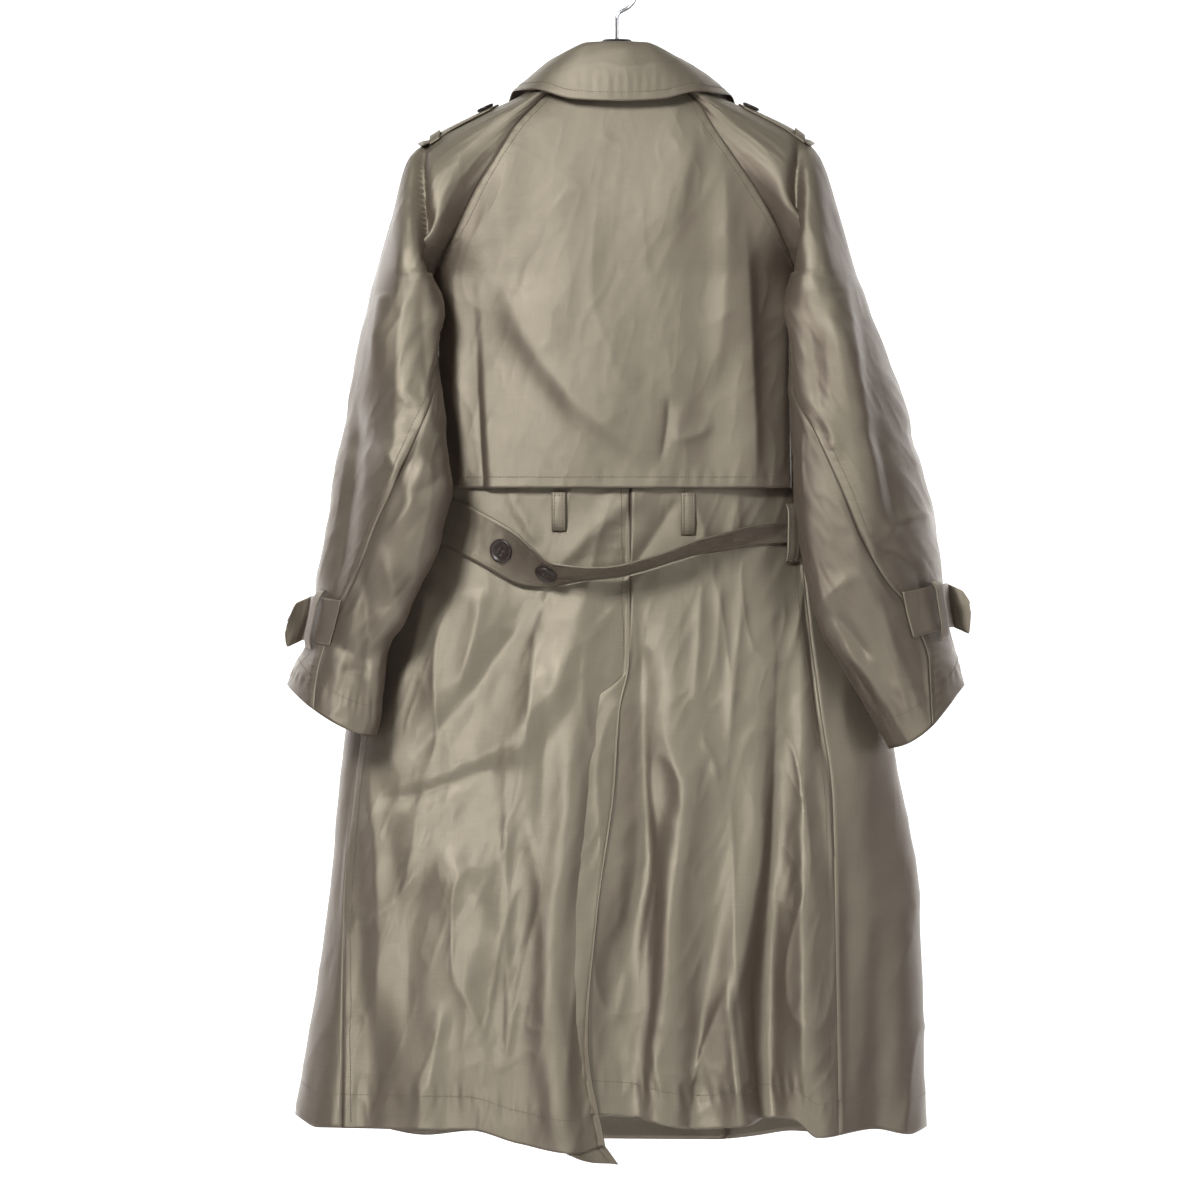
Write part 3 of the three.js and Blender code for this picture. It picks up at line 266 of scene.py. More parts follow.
SLEEVES = {
    Side.LEFT: Table(SLEEVE_COLUMNS, [
        (116, 65, 72, 110, 34, 0, 0, 90),
        (133, 81, 101, 126, 38, 0, 0, 90),
        (155, 102, 139, 143.5, 42, 0, 0, 90),
        (178, 117, 177, 163, 46, 2, 0, 95),
        (214, 139, 206, 186, 52, 8, 0, 110),
        (259, 161, 227, 252, 58, 20, 6, 140),
        (306, 182, 242, 306, 60, 32, 14, 174),
        (322, 178, 246, 322, 60, 36, 17, 174),
        (345, 175, 252, 345, 60, 41, 20, 172),
        (365, 179, 258, 365, 60, 44, 22, 170),
        (410, 177, 266, 415, 60, 50, 28, 154),
        (460, 170, 274, 462, 60, 56, 34, 118),
        (520, 165, 285, 515, 60, 70, 40, 92),
        (565, 176, 292, 562, 58, 70, 38, 80),
        (615, 200, 300, 605, 54, 66, 32, 76),
        (652, 219, 304, 637, 50, 62, 28, 68),
        (685, 231, 312, 672, 48, 56, 24, 60),
        (725, 236, 325, 698, 48, 56, 24, 64),
        (766, 241, 331, 715, 48, 56, 24, 68),
    ]),
    Side.RIGHT: Table(SLEEVE_COLUMNS, [
        (116, 67, 75, 110, 34, 0, 0, 90),
        (133, 82, 105, 126, 38, 0, 0, 90),
        (155, 96, 141, 142, 42, 0, 0, 90),
        (178, 112, 178, 161, 46, 2, 0, 95),
        (214, 136, 203, 186, 52, 8, 0, 110),
        (259, 162, 225, 252, 58, 20, 6, 140),
        (306, 177, 241, 306, 60, 32, 14, 174),
        (322, 173, 248, 322, 60, 38, 18, 173),
        (342, 170, 254, 342, 60, 42, 20, 172),
        (370, 174, 266, 370, 60, 47, 24, 170),
        (415, 174, 281, 415, 60, 50, 28, 164),
        (460, 175, 295, 462, 60, 54, 30, 130),
        (520, 177, 311, 515, 60, 58, 32, 108),
        (565, 182, 321, 562, 58, 60, 34, 98),
        (615, 191, 327, 600, 54, 60, 34, 84),
        (660, 204, 329, 625, 50, 60, 32, 68),
        (695, 225, 337, 670, 48, 58, 26, 60),
        (735, 249, 344, 692, 48, 56, 22, 70),
        (778, 274, 349, 714, 48, 54, 20, 84),
    ]),
}
# The deep fold from the shoulder's point to the underarm: its place round the
# sleeve, how deep it sinks, and how far the hanging part stands proud of it.
SHOULDER_FOLD = Table("drop left right deep proud", [
    (186, 0.1, 0.22, 0, 0),
    (214, 0.27, 0.46, 6, 2),
    (236, 0.43, 0.62, 9, 4),
    (259, 0.6, 0.76, 10, 6),
    (283, 0.74, 0.86, 10, 8),
    (306, 0.84, 0.93, 8, 9),
    (340, 0.93, 0.98, 0, 9),
    (400, 1, 1, 0, 4),
    (440, 1, 1, 0, 0),
])
COLLAR = Table("turn foot_x foot_y foot_z roll_x roll_y roll_z edge_x edge_y edge_z", [
    (0, 0, 34, 115, 0, 36, 70, 0, 60, 130),
    (0.22, 34, 31, 115, 28, 33, 71, 44, 56, 128),
    (0.42, 62, 18, 113, 52, 20, 82, 84, 40, 118),
    (0.56, 70, 0, 107, 60, 0, 88, 103, 4, 118.5),
    (0.72, 66, -22, 111, 60, -26, 100, 112, -54, 147),
    (0.86, 61, -32, 116, 58, -38, 110, 116, -66, 178),
    (1, 57, -36, 122, 56, -44, 120, 104, -74, 206),
])
BELT = Table("step across front drop lift twist half", [
    (0, -206, 1, 880, 4, 0, 24),
    (1, -212, 1, 790, 4, 0, 24),
    (2, -206, 1, 700, 4, 0, 24),
    (3, -200, 1, 630, 4, 0, 24),
    (4, -200, 1, 588, 4.6, 0, 24),
    (5, -206, 1, 562, 5, 0, 24),
    (6, -208, 0, 552, 5, 0, 24),
    (7, -190, 0, 550, 3.6, 0, 24),
    (8, -166, 0, 553, 4, 0, 24),
    (9, -140, 0, 565, 7, 4, 24),
    (10, -112, 0, 581, 12, 16, 24),
    (11, -85, 0, 597, 19, 40, 24),
    (12, -55, 0, 604, 27, 70, 24),
    (13, -15, 0, 603, 29, 80, 24),
    (14, 35, 0, 592, 28, 80, 23),
    (15, 75, 0, 578, 24, 72, 20),
    (16, 112, 0, 570, 16, 55, 15),
    (17, 145, 0, 564, 8, 30, 11),
    (18, 176, 0, 562, 3.6, 0, 10),
    (19, 192, 0, 561, 3.4, 0, 13),
    (20, 210, 0, 560, 4.6, 0, 20),
    (21, 209, 1, 568, 5, 0, 23),
    (22, 204, 1, 594, 4.6, 0, 24),
    (23, 204, 1, 640, 4, 0, 24),
    (24, 210, 1, 710, 4, 0, 24),
    (25, 214, 1, 800, 4, 0, 24),
    (26, 208, 1, 900, 4, 0, 24),
])


def ease(start: float, end: float, value: Grid | float) -> Grid:
    """A smooth step from 0 at start to 1 at end.

    Args:
        start: where the step begins.
        end: where it ends.
        value: the places to work it out at.

    Returns:
        The step's height at each place.
    """
    t = np.clip((np.asarray(value, float) - start) / (end - start), 0, 1)
    return t * t * (3 - 2 * t)


def mix(a: Grid | float, b: Grid | float, t: Grid | float) -> Grid | float:
    """The value that lies t of the way from a to b."""
    return a + (b - a) * t


def place(across: Grid, depth: Grid, drop: Grid) -> Grid:
    """Points of the row frame, in millimetres, from the coat's own measures."""
    return np.stack(np.broadcast_arrays(-across, depth, -drop), axis=-1)


def unit(vectors: Grid) -> Grid:
    """The vectors at a length of one."""
    return vectors / np.maximum(np.linalg.norm(vectors, axis=-1, keepdims=True), 1e-9)


def signed_power(value: Grid, power: Grid) -> Grid:
    """The value's size to a power, with its sign kept."""
    return np.sign(value) * np.abs(value) ** power


def body_size(side: Side, drop: Grid) -> Grid:
    """The body's half width on one side."""
    return BODY.at(side.value, drop)


def back_angle(across: Grid | float, drop: Grid) -> Grid:
    """The angle round the body's oval, 0 at the centre back, of a place across it.

    Args:
        across: the places across the back.
        drop: the drops below the hook.

    Returns:
        The angles, whose sine to the oval's power is the share across.
    """
    across, drop = np.broadcast_arrays(np.asarray(across, float), np.asarray(drop, float))
    wide = np.where(across < 0, BODY.at("left", drop), BODY.at("right", drop))
    part = np.minimum(1, np.abs(across) / wide)
    return np.sign(across) * np.arcsin(part ** (BODY.at("round", drop) / 2))


def front_angle(across: Grid | float, drop: Grid) -> Grid:
    """The same angle of a place across the front."""
    return math.pi - back_angle(across, drop)


def fold_height(folds: Table, across: Grid, drop: Grid) -> Grid:
    """How far the upright folds stand out at each place.

    Args:
        folds: a table of folds.
        across: the places across the coat.
        drop: their drops.

    Returns:
        The folds' heights, added up.
    """
    total = np.zeros(np.broadcast(across, drop).shape)
    for top, bottom, at_top, at_hem, width, height in zip(*folds.column.values()):
        along = np.clip((drop - top) / (bottom - top), 0, 1)
        offset = (across - mix(at_top, at_hem, along)) / width
        total = total + height * ease(top, bottom, drop) * np.exp(-offset * offset)
    return total


def body_point(angle: Grid, drop: Grid, lift: Grid | float = 0.0) -> Grid:
    """Points of the body's middle surface.

    Args:
        angle: the angle round the oval.
        drop: the drop below the hook.
        lift: how far the point is moved out of the oval.

    Returns:
        The points, in millimetres.
    """
    angle, drop = np.broadcast_arrays(np.asarray(angle, float), np.asarray(drop, float))
    sine, cosine = np.sin(angle), np.cos(angle)
    wide = np.where(sine < 0, BODY.at("left", drop), BODY.at("right", drop))
    deep = np.where(cosine < 0, BODY.at("front", drop), BODY.at("back", drop))
    power = 2 / BODY.at("round", drop)
    across = wide * signed_power(sine, power)
    depth = deep * signed_power(cosine, power)
    out_across = signed_power(sine, 2 - power) / wide
    out_depth = signed_power(cosine, 2 - power) / deep
    size = np.hypot(out_across, out_depth)
    on_front, on_back = (fold_height(folds, across, drop) for folds in (FRONT_FOLDS, SKIRT_FOLDS))
    folds = np.where(cosine < 0, on_front, on_back)
    out = lift + folds * ease(0, 0.35, np.abs(cosine))
    return place(across + out * out_across / size, depth + out * out_depth / size, drop)


def body_normal(angle: Grid, drop: Grid) -> Grid:
    """The outward normals of the body's middle surface.

    Args:
        angle: the angles round the oval.
        drop: the drops below the hook.

    Returns:
        The normals, at right angles to the steps round and down.
    """
    ring = body_point(angle + 0.05, drop) - body_point(angle - 0.05, drop)
    down = body_point(angle, drop + 20) - body_point(angle, drop - 20)
    return unit(np.cross(down, ring))


def sleeve_section(side: Side, drop: Grid) -> dict[str, Grid]:
    """The measures of a sleeve's section at each drop.

    Args:
        side: the wearer's side.
        drop: the drops.

    Returns:
        The table's columns there, with the section's middle and its seam angle.
    """
    rows = SLEEVES[side]
    size = {name: rows.at(name, drop) for name in rows.column}
    inner = np.minimum(size["inner"], body_size(side, drop))
    above = drop < UNDERARM
    seam_back = np.where(above, body_point(back_angle(side.sign * inner, drop), drop)[..., 1], 0)
    seam_front = np.where(above, body_point(front_angle(side.sign * inner, drop), drop)[..., 1], 0)
    half = (seam_back - seam_front) / 2
    size["middle"] = (seam_back + seam_front) / 2
    size["deep"] = np.maximum(size["deep"], half * 1.02)
    size["limit"] = math.pi - np.arcsin(half / size["deep"])
    return size


def sleeve_point(side: Side, turn: Grid | float, drop: Grid, lift: Grid | float = 0.0) -> Grid:
    """Points of a sleeve's middle surface.

    Turn runs from 1 at the back raglan seam, over 0 at the outer edge, to -1 at
    the front seam. Below the underarm it closes into a ring.

    Args:
        side: the wearer's side.
        turn: the place round the sleeve.
        drop: the place down the sleeve's inner edge.
        lift: how far the point is moved out.

    Returns:
        The points, in millimetres.
    """
    turn, drop = np.broadcast_arrays(np.asarray(turn, float), np.asarray(drop, float))
    size = sleeve_section(side, drop)
    angle = turn * size["limit"]
    rim = np.cos(size["limit"])
    reach = (np.cos(angle) - rim) / (1 - rim)
    across = mix(size["inner"], size["outer"], reach)
    bow = 1 + CUFF_BOW * ease(CUFF_START, CUFF_END, drop)
    level = mix(drop, size["outer_drop"], signed_power(reach, bow))
    thin = 1 - 0.25 * np.clip(-np.cos(angle), 0, 1)
    pinned = 1 - ease(UNDERARM, UNDERARM + 40, drop)
    free = mix(1, ease(0, 0.3, np.abs(1 - np.abs(turn))), pinned)
    shift = (size["hang"] - size["lean"] * np.cos(angle)) * free
    depth = size["middle"] + size["deep"] * np.sin(angle) * mix(thin, 1, pinned) + shift
    point = place(side.sign * across, depth, level)
    if np.isscalar(lift) and lift == 0:
        return point
    return point + sleeve_normal(side, turn, drop) * np.asarray(lift)[..., None]


def sleeve_normal(side: Side, turn: Grid, drop: Grid) -> Grid:
    """The outward normals of a sleeve's middle surface.

    Args:
        side: the wearer's side.
        turn: the places round the sleeve.
        drop: the drops below the hook.

    Returns:
        The normals, at right angles to the steps round and down.
    """
    ring = sleeve_point(side, turn + 0.01, drop) - sleeve_point(side, turn - 0.01, drop)
    down = sleeve_point(side, turn, drop + 2) - sleeve_point(side, turn, drop - 2)
    return unit(np.cross(ring, down)) * side.sign


def noise(x: Grid, y: Grid, seed: int) -> Grid:
    """Smooth uneven heights from -1 to 1, one swell to each unit of x and y.

    Args:
        x: the places along one direction.
        y: the places along the other.
        seed: which pattern.

    Returns:
        The heights.
    """
    lattice = np.random.default_rng(seed).uniform(-1, 1, (64, 64))
    x, y = np.broadcast_arrays(np.asarray(x, float), np.asarray(y, float))
    i, j = np.floor(x).astype(int), np.floor(y).astype(int)
    s, t = x - i, y - j
    s, t = s ** 3 * (s * (6 * s - 15) + 10), t ** 3 * (t * (6 * t - 15) + 10)
    near = mix(lattice[i % 64, j % 64], lattice[(i + 1) % 64, j % 64], s)
    far = mix(lattice[i % 64, (j + 1) % 64], lattice[(i + 1) % 64, (j + 1) % 64], s)
    return mix(near, far, t)


def creased(x: Grid, y: Grid, seed: int) -> Grid:
    """Heights with narrow ridges, as of cloth that was folded and shaken out."""
    warp = 0.6 * noise(x * 0.7, y * 0.7, seed + 7)
    return 1 - 2 * np.sqrt(np.abs(noise(x + warp, y - warp, seed)) + 0.01)


@dataclass(frozen=True)
class Rumple:
    """Soft unevenness over a piece: the swells' size along and across, and height."""

    seed: int
    across: float = 60
    down: float = 150
    height: float = 1.6
    crease: float = 0.5
    slant: float = 0.0

    def heights(self, x: Grid, y: Grid) -> Grid:
        """The heights at places x across and y down, in millimetres.

        Args:
            x: the distances across.
            y: the distances down.

        Returns:
            The heights: a broad and a fine swell, and narrow ridges, on a slanted grid.
        """
        x = x + self.slant * y
        broad = noise(x / self.across, y / self.down, self.seed)
        fine = noise(x / self.across * 2.3, y / self.down * 2.1, self.seed + 1)
        sharp = creased(x / self.across * 1.1, y / self.down * 1.3, self.seed + 2)
        return self.height * (broad + 0.4 * fine) + self.crease * sharp


CREASE_COLUMNS = "x0 y0 x1 y1 bow left right height"


def crease_heights(creases: Table, across: Grid, drop: Grid) -> Grid:
    """How far single creases stand out of the cloth.

    Each runs from one place to another with a bow, with its own width on the
    left and right of its line, and fades at both ends.

    Args:
        creases: a table with CREASE_COLUMNS.
        across: the places across the coat.
        drop: their drops.

    Returns:
        The creases' heights, added up.
    """
    total = np.zeros(across.shape)
    for x0, y0, x1, y1, bow, left, right, height in zip(*creases.column.values()):
        long = math.hypot(x1 - x0, y1 - y0)
        ux, uy = (x1 - x0) / long, (y1 - y0) / long
        along = ((across - x0) * ux + (drop - y0) * uy) / long
        aside = (across - x0) * uy - (drop - y0) * ux
        inside = np.clip(along, 0, 1)
        aside = aside - bow * 4 * inside * (1 - inside)
        reach = np.where(aside < 0, left, right)
        crisp = np.clip(1 + reach / 22, 1.2, 2)
        ends = ease(-0.12, 0.25, along) * ease(1.12, 0.75, along)
        total += height * ends * np.exp(-(np.hypot(aside / reach, 0.1) ** crisp))
    return total


def puckers(along: Grid, away: Grid, seed: int, pitch: float, height: float, reach: float) -> Grid:
    """Small ripples across a line of stitching.

    Args:
        along: the distance along the stitching.
        away: the distance from it.
        seed: which pattern.
        pitch: the ripples' usual spacing.
        height: their height.
        reach: how far they run out from the line.

    Returns:
        The ripples' heights.
    """
    wander = 2.2 * noise(along / (pitch * 4), along * 0 + 0.5, seed)
    strength = 0.55 + 0.45 * noise(along / (pitch * 5), along * 0 + 3.5, seed + 3)
    slant = 0.25 * away / pitch * noise(along / (pitch * 6), along * 0 + 7.5, seed + 5)
    ripple = np.sin(TURN * (along / pitch + slant) + wander * 2)
    return height * strength * ripple * np.exp(-((away / reach) ** 2))


@dataclass
class Sheet:
    """A grid of points on a cloth's middle surface, in millimetres."""

    points: Grid
    outward: Grid
    wraps: bool = False

    def normals(self) -> Grid:
        """The outward normals at the grid's points.

        Returns:
            The normals, at right angles to the grid's two directions.
        """
        if self.wraps:
            ring = np.roll(self.points, -1, 0) - np.roll(self.points, 1, 0)
        else:
            ring = np.gradient(self.points, axis=0)
        normal = unit(np.cross(ring, np.gradient(self.points, axis=1)))
        return normal if (normal * self.outward).sum() > 0 else -normal

    def raised(self, height: Grid) -> "Sheet":
        """The sheet with each point moved out by a height."""
        moved = self.points + self.normals() * np.asarray(height)[..., None]
        return Sheet(moved, self.outward, self.wraps)

    @property
    def across(self) -> Grid:
        """The points' distances across."""
        return -self.points[..., 0]

    @property
    def drop(self) -> Grid:
        """The points' drops."""
        return -self.points[..., 2]

    def lengths(self) -> tuple[Grid, Grid]:
        """The mean distances along the columns and along the rows, from 0.

        Returns:
            The two lists of distances.
        """
        ring = np.linalg.norm(np.diff(self.points, axis=0), axis=-1).mean(1)
        down = np.linalg.norm(np.diff(self.points, axis=1), axis=-1).mean(0)
        return np.append(0, np.cumsum(ring)), np.append(0, np.cumsum(down))

    def sample(self, i: Grid, j: Grid, lift: float) -> Grid:
        """Points between the grid's points.

        Args:
            i: places along the columns, as fractions of a step.
            j: places along the rows.
            lift: how far they are moved out.

        Returns:
            The points, in millimetres.
        """
        grid = self.points + self.normals() * lift
        i = np.clip(i, 0, grid.shape[0] - 1.001)
        j = np.clip(j, 0, grid.shape[1] - 1.001)
        a, b = i.astype(int), j.astype(int)
        s, t = (i - a)[..., None], (j - b)[..., None]
        near = mix(grid[a, b], grid[a + 1, b], s)
        return mix(near, mix(grid[a, b + 1], grid[a + 1, b + 1], s), t)


def make_object(name: str, points: Grid, faces: Sequence[Grid],
                uv: Optional[Grid] = None) -> bpy.types.Object:
    """An object from points and faces, turned so that the faces look outward.

    Args:
        name: the piece's name.
        points: the points, in millimetres.
        faces: arrays of point numbers, one row a face.
        uv: each point's place on the flat cloth, in metres.

    Returns:
        The object, at the origin, riding on the coat.
    """
    volume = 0.0
    for part in faces:
        corners = points[part]
        for k in range(1, part.shape[1] - 1):
            volume += float((corners[:, 0] * np.cross(corners[:, k], corners[:, k + 1])).sum())
    if volume < 0:
        faces = [part[:, ::-1] for part in faces]
    loops = np.concatenate([part.ravel() for part in faces]).astype(np.int32)
    sizes = np.concatenate([np.full(len(part), part.shape[1]) for part in faces])
    mesh = bpy.data.meshes.new(name)
    mesh.vertices.add(len(points))
    mesh.vertices.foreach_set("co", (points * MM).astype(np.float32).ravel())
    mesh.loops.add(len(loops))
    mesh.loops.foreach_set("vertex_index", loops)
    mesh.polygons.add(len(sizes))
    mesh.polygons.foreach_set("loop_start", np.append(0, np.cumsum(sizes)[:-1]).astype(np.int32))
    mesh.update(calc_edges=True)
    mesh.validate()
    mesh.shade_smooth()
    if uv is not None:
        layer = mesh.uv_layers.new(name="cloth")
        layer.data.foreach_set("uv", uv[loops].astype(np.float32).ravel())
    piece = bpy.data.objects.new(name, mesh)
    bpy.context.scene.collection.objects.link(piece)
    LOG.info("%s: %d faces", name, len(sizes))
    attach(piece, "root")
    return piece


def tube_faces(count: int, sides: int) -> list[Grid]:
    """The faces of rings of points joined to a tube, closed by a middle point at each end.

    Args:
        count: the number of rings.
        sides: the points of a ring.

    Returns:
        The wall's four-sided and the ends' three-sided faces.
    """
    i, j = np.meshgrid(np.arange(count - 1) * sides, np.arange(sides), indexing="ij")
    k = (j + 1) % sides
    wall = np.stack((i + j, i + k, i + sides + k, i + sides + j), -1).reshape(-1, 4)
    j, k, last = j[0], k[0], (count - 1) * sides
    caps = [np.stack((np.full(sides, count * sides), k, j), -1),
            np.stack((np.full(sides, count * sides + 1), last + j, last + k), -1)]
    return [wall, np.concatenate(caps)]


def tube_object(name: str, rings: Grid) -> bpy.types.Object:
    """A closed piece from rings of points.

    Args:
        name: the piece's name.
        rings: the rings, in millimetres.

    Returns:
        The object.
    """
    ends = np.stack((rings[0].mean(0), rings[-1].mean(0)))
    points = np.concatenate((rings.reshape(-1, 3), ends))
    return make_object(name, points, tube_faces(*rings.shape[:2]))


def grid_quads(columns: int, rows: int, wraps: bool = False) -> Grid:
    """The faces of a grid of points.

    Args:
        columns: the number of columns.
        rows: the number of rows.
        wraps: whether the last column joins the first.

    Returns:
        Four point numbers a face.
    """
    i, j = np.meshgrid(np.arange(columns if wraps else columns - 1), np.arange(rows - 1), indexing="ij")
    k = (i + 1) % columns
    return np.stack((i * rows + j, k * rows + j, k * rows + j + 1, i * rows + j + 1), -1).reshape(-1, 4)


def sheet_object(name: str, sheet: Sheet, thickness: float = CLOTH) -> bpy.types.Object:
    """A thin closed shell round a sheet.

    Args:
        name: the piece's name.
        sheet: the middle surface.
        thickness: the cloth's thickness.

    Returns:
        The object.
    """
    columns, rows = sheet.points.shape[:2]
    offset = sheet.normals() * (thickness / 2)
    points = np.concatenate([(sheet.points + side).reshape(-1, 3) for side in (offset, -offset)])
    outer = grid_quads(columns, rows, sheet.wraps)
    count = columns * rows
    index = np.arange(count).reshape(columns, rows)
    loop = [index[:, 0], index[::-1, -1]] if sheet.wraps else [
        np.concatenate((index[:, 0], index[-1, 1:], index[-2::-1, -1], index[0, -2::-1]))]
    rims = []
    for edge in loop:
        a = np.append(edge, edge[0])[:-1] if sheet.wraps else edge[:-1]
        b = np.roll(edge, -1) if sheet.wraps else edge[1:]
        rims.append(np.stack((b, a, a + count, b + count), -1))
    quads = np.concatenate([outer, outer[:, ::-1] + count] + rims)
    u, v = sheet.lengths()
    flat = np.stack(np.meshgrid(u, v, indexing="ij"), -1).reshape(-1, 2) * MM
    return make_object(name, points, [quads], np.concatenate((flat, flat)))


def swept(name: str, path: Grid, half_wide: float, half_deep: float, sides: int = 20) -> bpy.types.Object:
    """A closed bar of oval section along a path.

    Args:
        name: the piece's name.
        path: its middle line, in millimetres, in a plane across the coat.
        half_wide: the section's half size to the front and back.
        half_deep: the section's half size within the plane.
        sides: the section's corners.

    Returns:
        The object.
    """
    along = unit(np.gradient(path, axis=0))
    aside = np.broadcast_to([0.0, 1.0, 0.0], along.shape)
    up = np.cross(along, aside)
    angle = np.linspace(0, TURN, sides, endpoint=False)[None, :, None]
    section = aside[:, None] * np.cos(angle) * half_wide + up[:, None] * np.sin(angle) * half_deep
    size = np.array([0.3, 0.65, 0.9])[:, None, None]
    bulge = np.array([0.34, 0.25, 0.12])[:, None, None] * half_deep
    start = path[0] + section[0] * size - along[0] * bulge
    end = path[-1] + section[-1] * size[::-1] + along[-1] * bulge[::-1]
    return tube_object(name, np.concatenate((start, path[:, None] + section, end)))


def turned(name: str, profile: Grid, centre: Grid, axis: Grid, sides: int = 48,
           shape: Optional[Callable[[Grid, Grid], Grid]] = None) -> bpy.types.Object:
    """A round piece turned about an axis.

    Args:
        name: the piece's name.
        profile: radius and height pairs from near the axis out and back to it.
        centre: where the profile's height is 0.
        axis: the direction of its height.
        sides: the number of steps round.
        shape: extra height for places on its face.

    Returns:
        The object.
    """
    axis = unit(np.asarray(axis, float))
    first = unit(np.cross(axis, [0.0, 0.0, 1.0] if abs(axis[2]) < 0.9 else [0.0, 1.0, 0.0]))
    second = np.cross(axis, first)
    angle = np.linspace(0, TURN, sides, endpoint=False)
    radius, height = profile[:, :1], profile[:, 1:]
    x, y = radius * np.cos(angle), radius * np.sin(angle)
    rise = height + (shape(x, y) * (height > 0.5) if shape else 0 * x)
    rings = centre + x[..., None] * first + y[..., None] * second + rise[..., None] * axis
    return tube_object(name, rings)


def spaced(line: Grid, pitch: float) -> Grid:
    """Points an equal distance apart along a line of points.

    Args:
        line: the line's points.
        pitch: the distance, in millimetres.

    Returns:
        The points.
    """
    run = np.append(0, np.cumsum(np.linalg.norm(np.diff(line, axis=0), axis=-1)))
    places = np.arange(pitch / 2, run[-1], pitch)
    return np.stack([np.interp(places, run, line[:, k]) for k in range(3)], -1)


def stitch_object(name: str, lines: Sequence[Grid], pitch: float, thick: float) -> bpy.types.Object:
    """Rows of sewn stitches, each a small bead of thread.

    Args:
        name: the piece's name.
        lines: the rows' lines of points on the cloth.
        pitch: the distance from stitch to stitch.
        thick: the thread's thickness.

    Returns:
        The object.
    """
    centres, runs = [], []
    for line in lines:
        points = spaced(line, pitch)
        if len(points) < 3:
            continue
        centres.append(points)
        runs.append(unit(np.gradient(points, axis=0)))
    centre, along = np.concatenate(centres), np.concatenate(runs)
    aside = unit(np.cross(along, [0.13, 0.57, 0.81]))
    up = np.cross(along, aside)
    reach = np.array([-0.38, -0.2, 0.2, 0.38])[:, None, None] * pitch
    size = np.array([0.5, 1, 1, 0.5])[:, None, None] * thick / 2
    angle = np.linspace(0, TURN, 4, endpoint=False)[None, :, None]
    ring = along[:, None, None] * reach + aside[:, None, None] * size * np.cos(angle)
    rings = centre[:, None, None] + ring + up[:, None, None] * size * np.sin(angle)
    ends = rings[:, [0, -1]].mean(2)
    points = np.concatenate((rings.reshape(len(centre), -1, 3), ends), 1)
    start = np.arange(len(centre))[:, None, None] * points.shape[1]
    faces = [(part[None] + start).reshape(-1, part.shape[1]) for part in tube_faces(4, 4)]
    return make_object(name, points.reshape(-1, 3), faces)


SHEETS: dict[str, Sheet] = {}


@dataclass(frozen=True)
class Cut:
    """A piece's flat cut, in metres: its width, its length and its area."""

    wide: float
    long: float
    area: float


def cloth_piece(name: str, sheet: Sheet,
                thickness: float = CLOTH) -> bpy.types.Object:
    """Makes a cloth piece, keeps its sheet and hides the part that it stands for.

    Args:
        name: the piece's and the part's node name.
        sheet: the middle surface.
        thickness: the shell's thickness.

    Returns:
        The object.
    """
    SHEETS[name] = sheet
    piece = sheet_object(f"{name}_cloth", sheet, thickness)
    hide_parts(name)
    return piece


def levels(*runs: tuple[float, float, int]) -> Grid:
    """Drops from one to the next, each run with its own number of steps."""
    parts = [np.linspace(start, end, count, endpoint=False) for start, end, count in runs]
    return np.concatenate(parts + [[runs[-1][1]]])


def skirt_drop(level: Grid, hem: Grid) -> Grid:
    """The level's drop, fanned out below the vent's top to the hem's own line."""
    share = np.clip((level - SKIRT_START) / (HEM_LEVEL - SKIRT_START), 0, None)
    return np.where(level <= SKIRT_START, level, mix(SKIRT_START, hem, share))


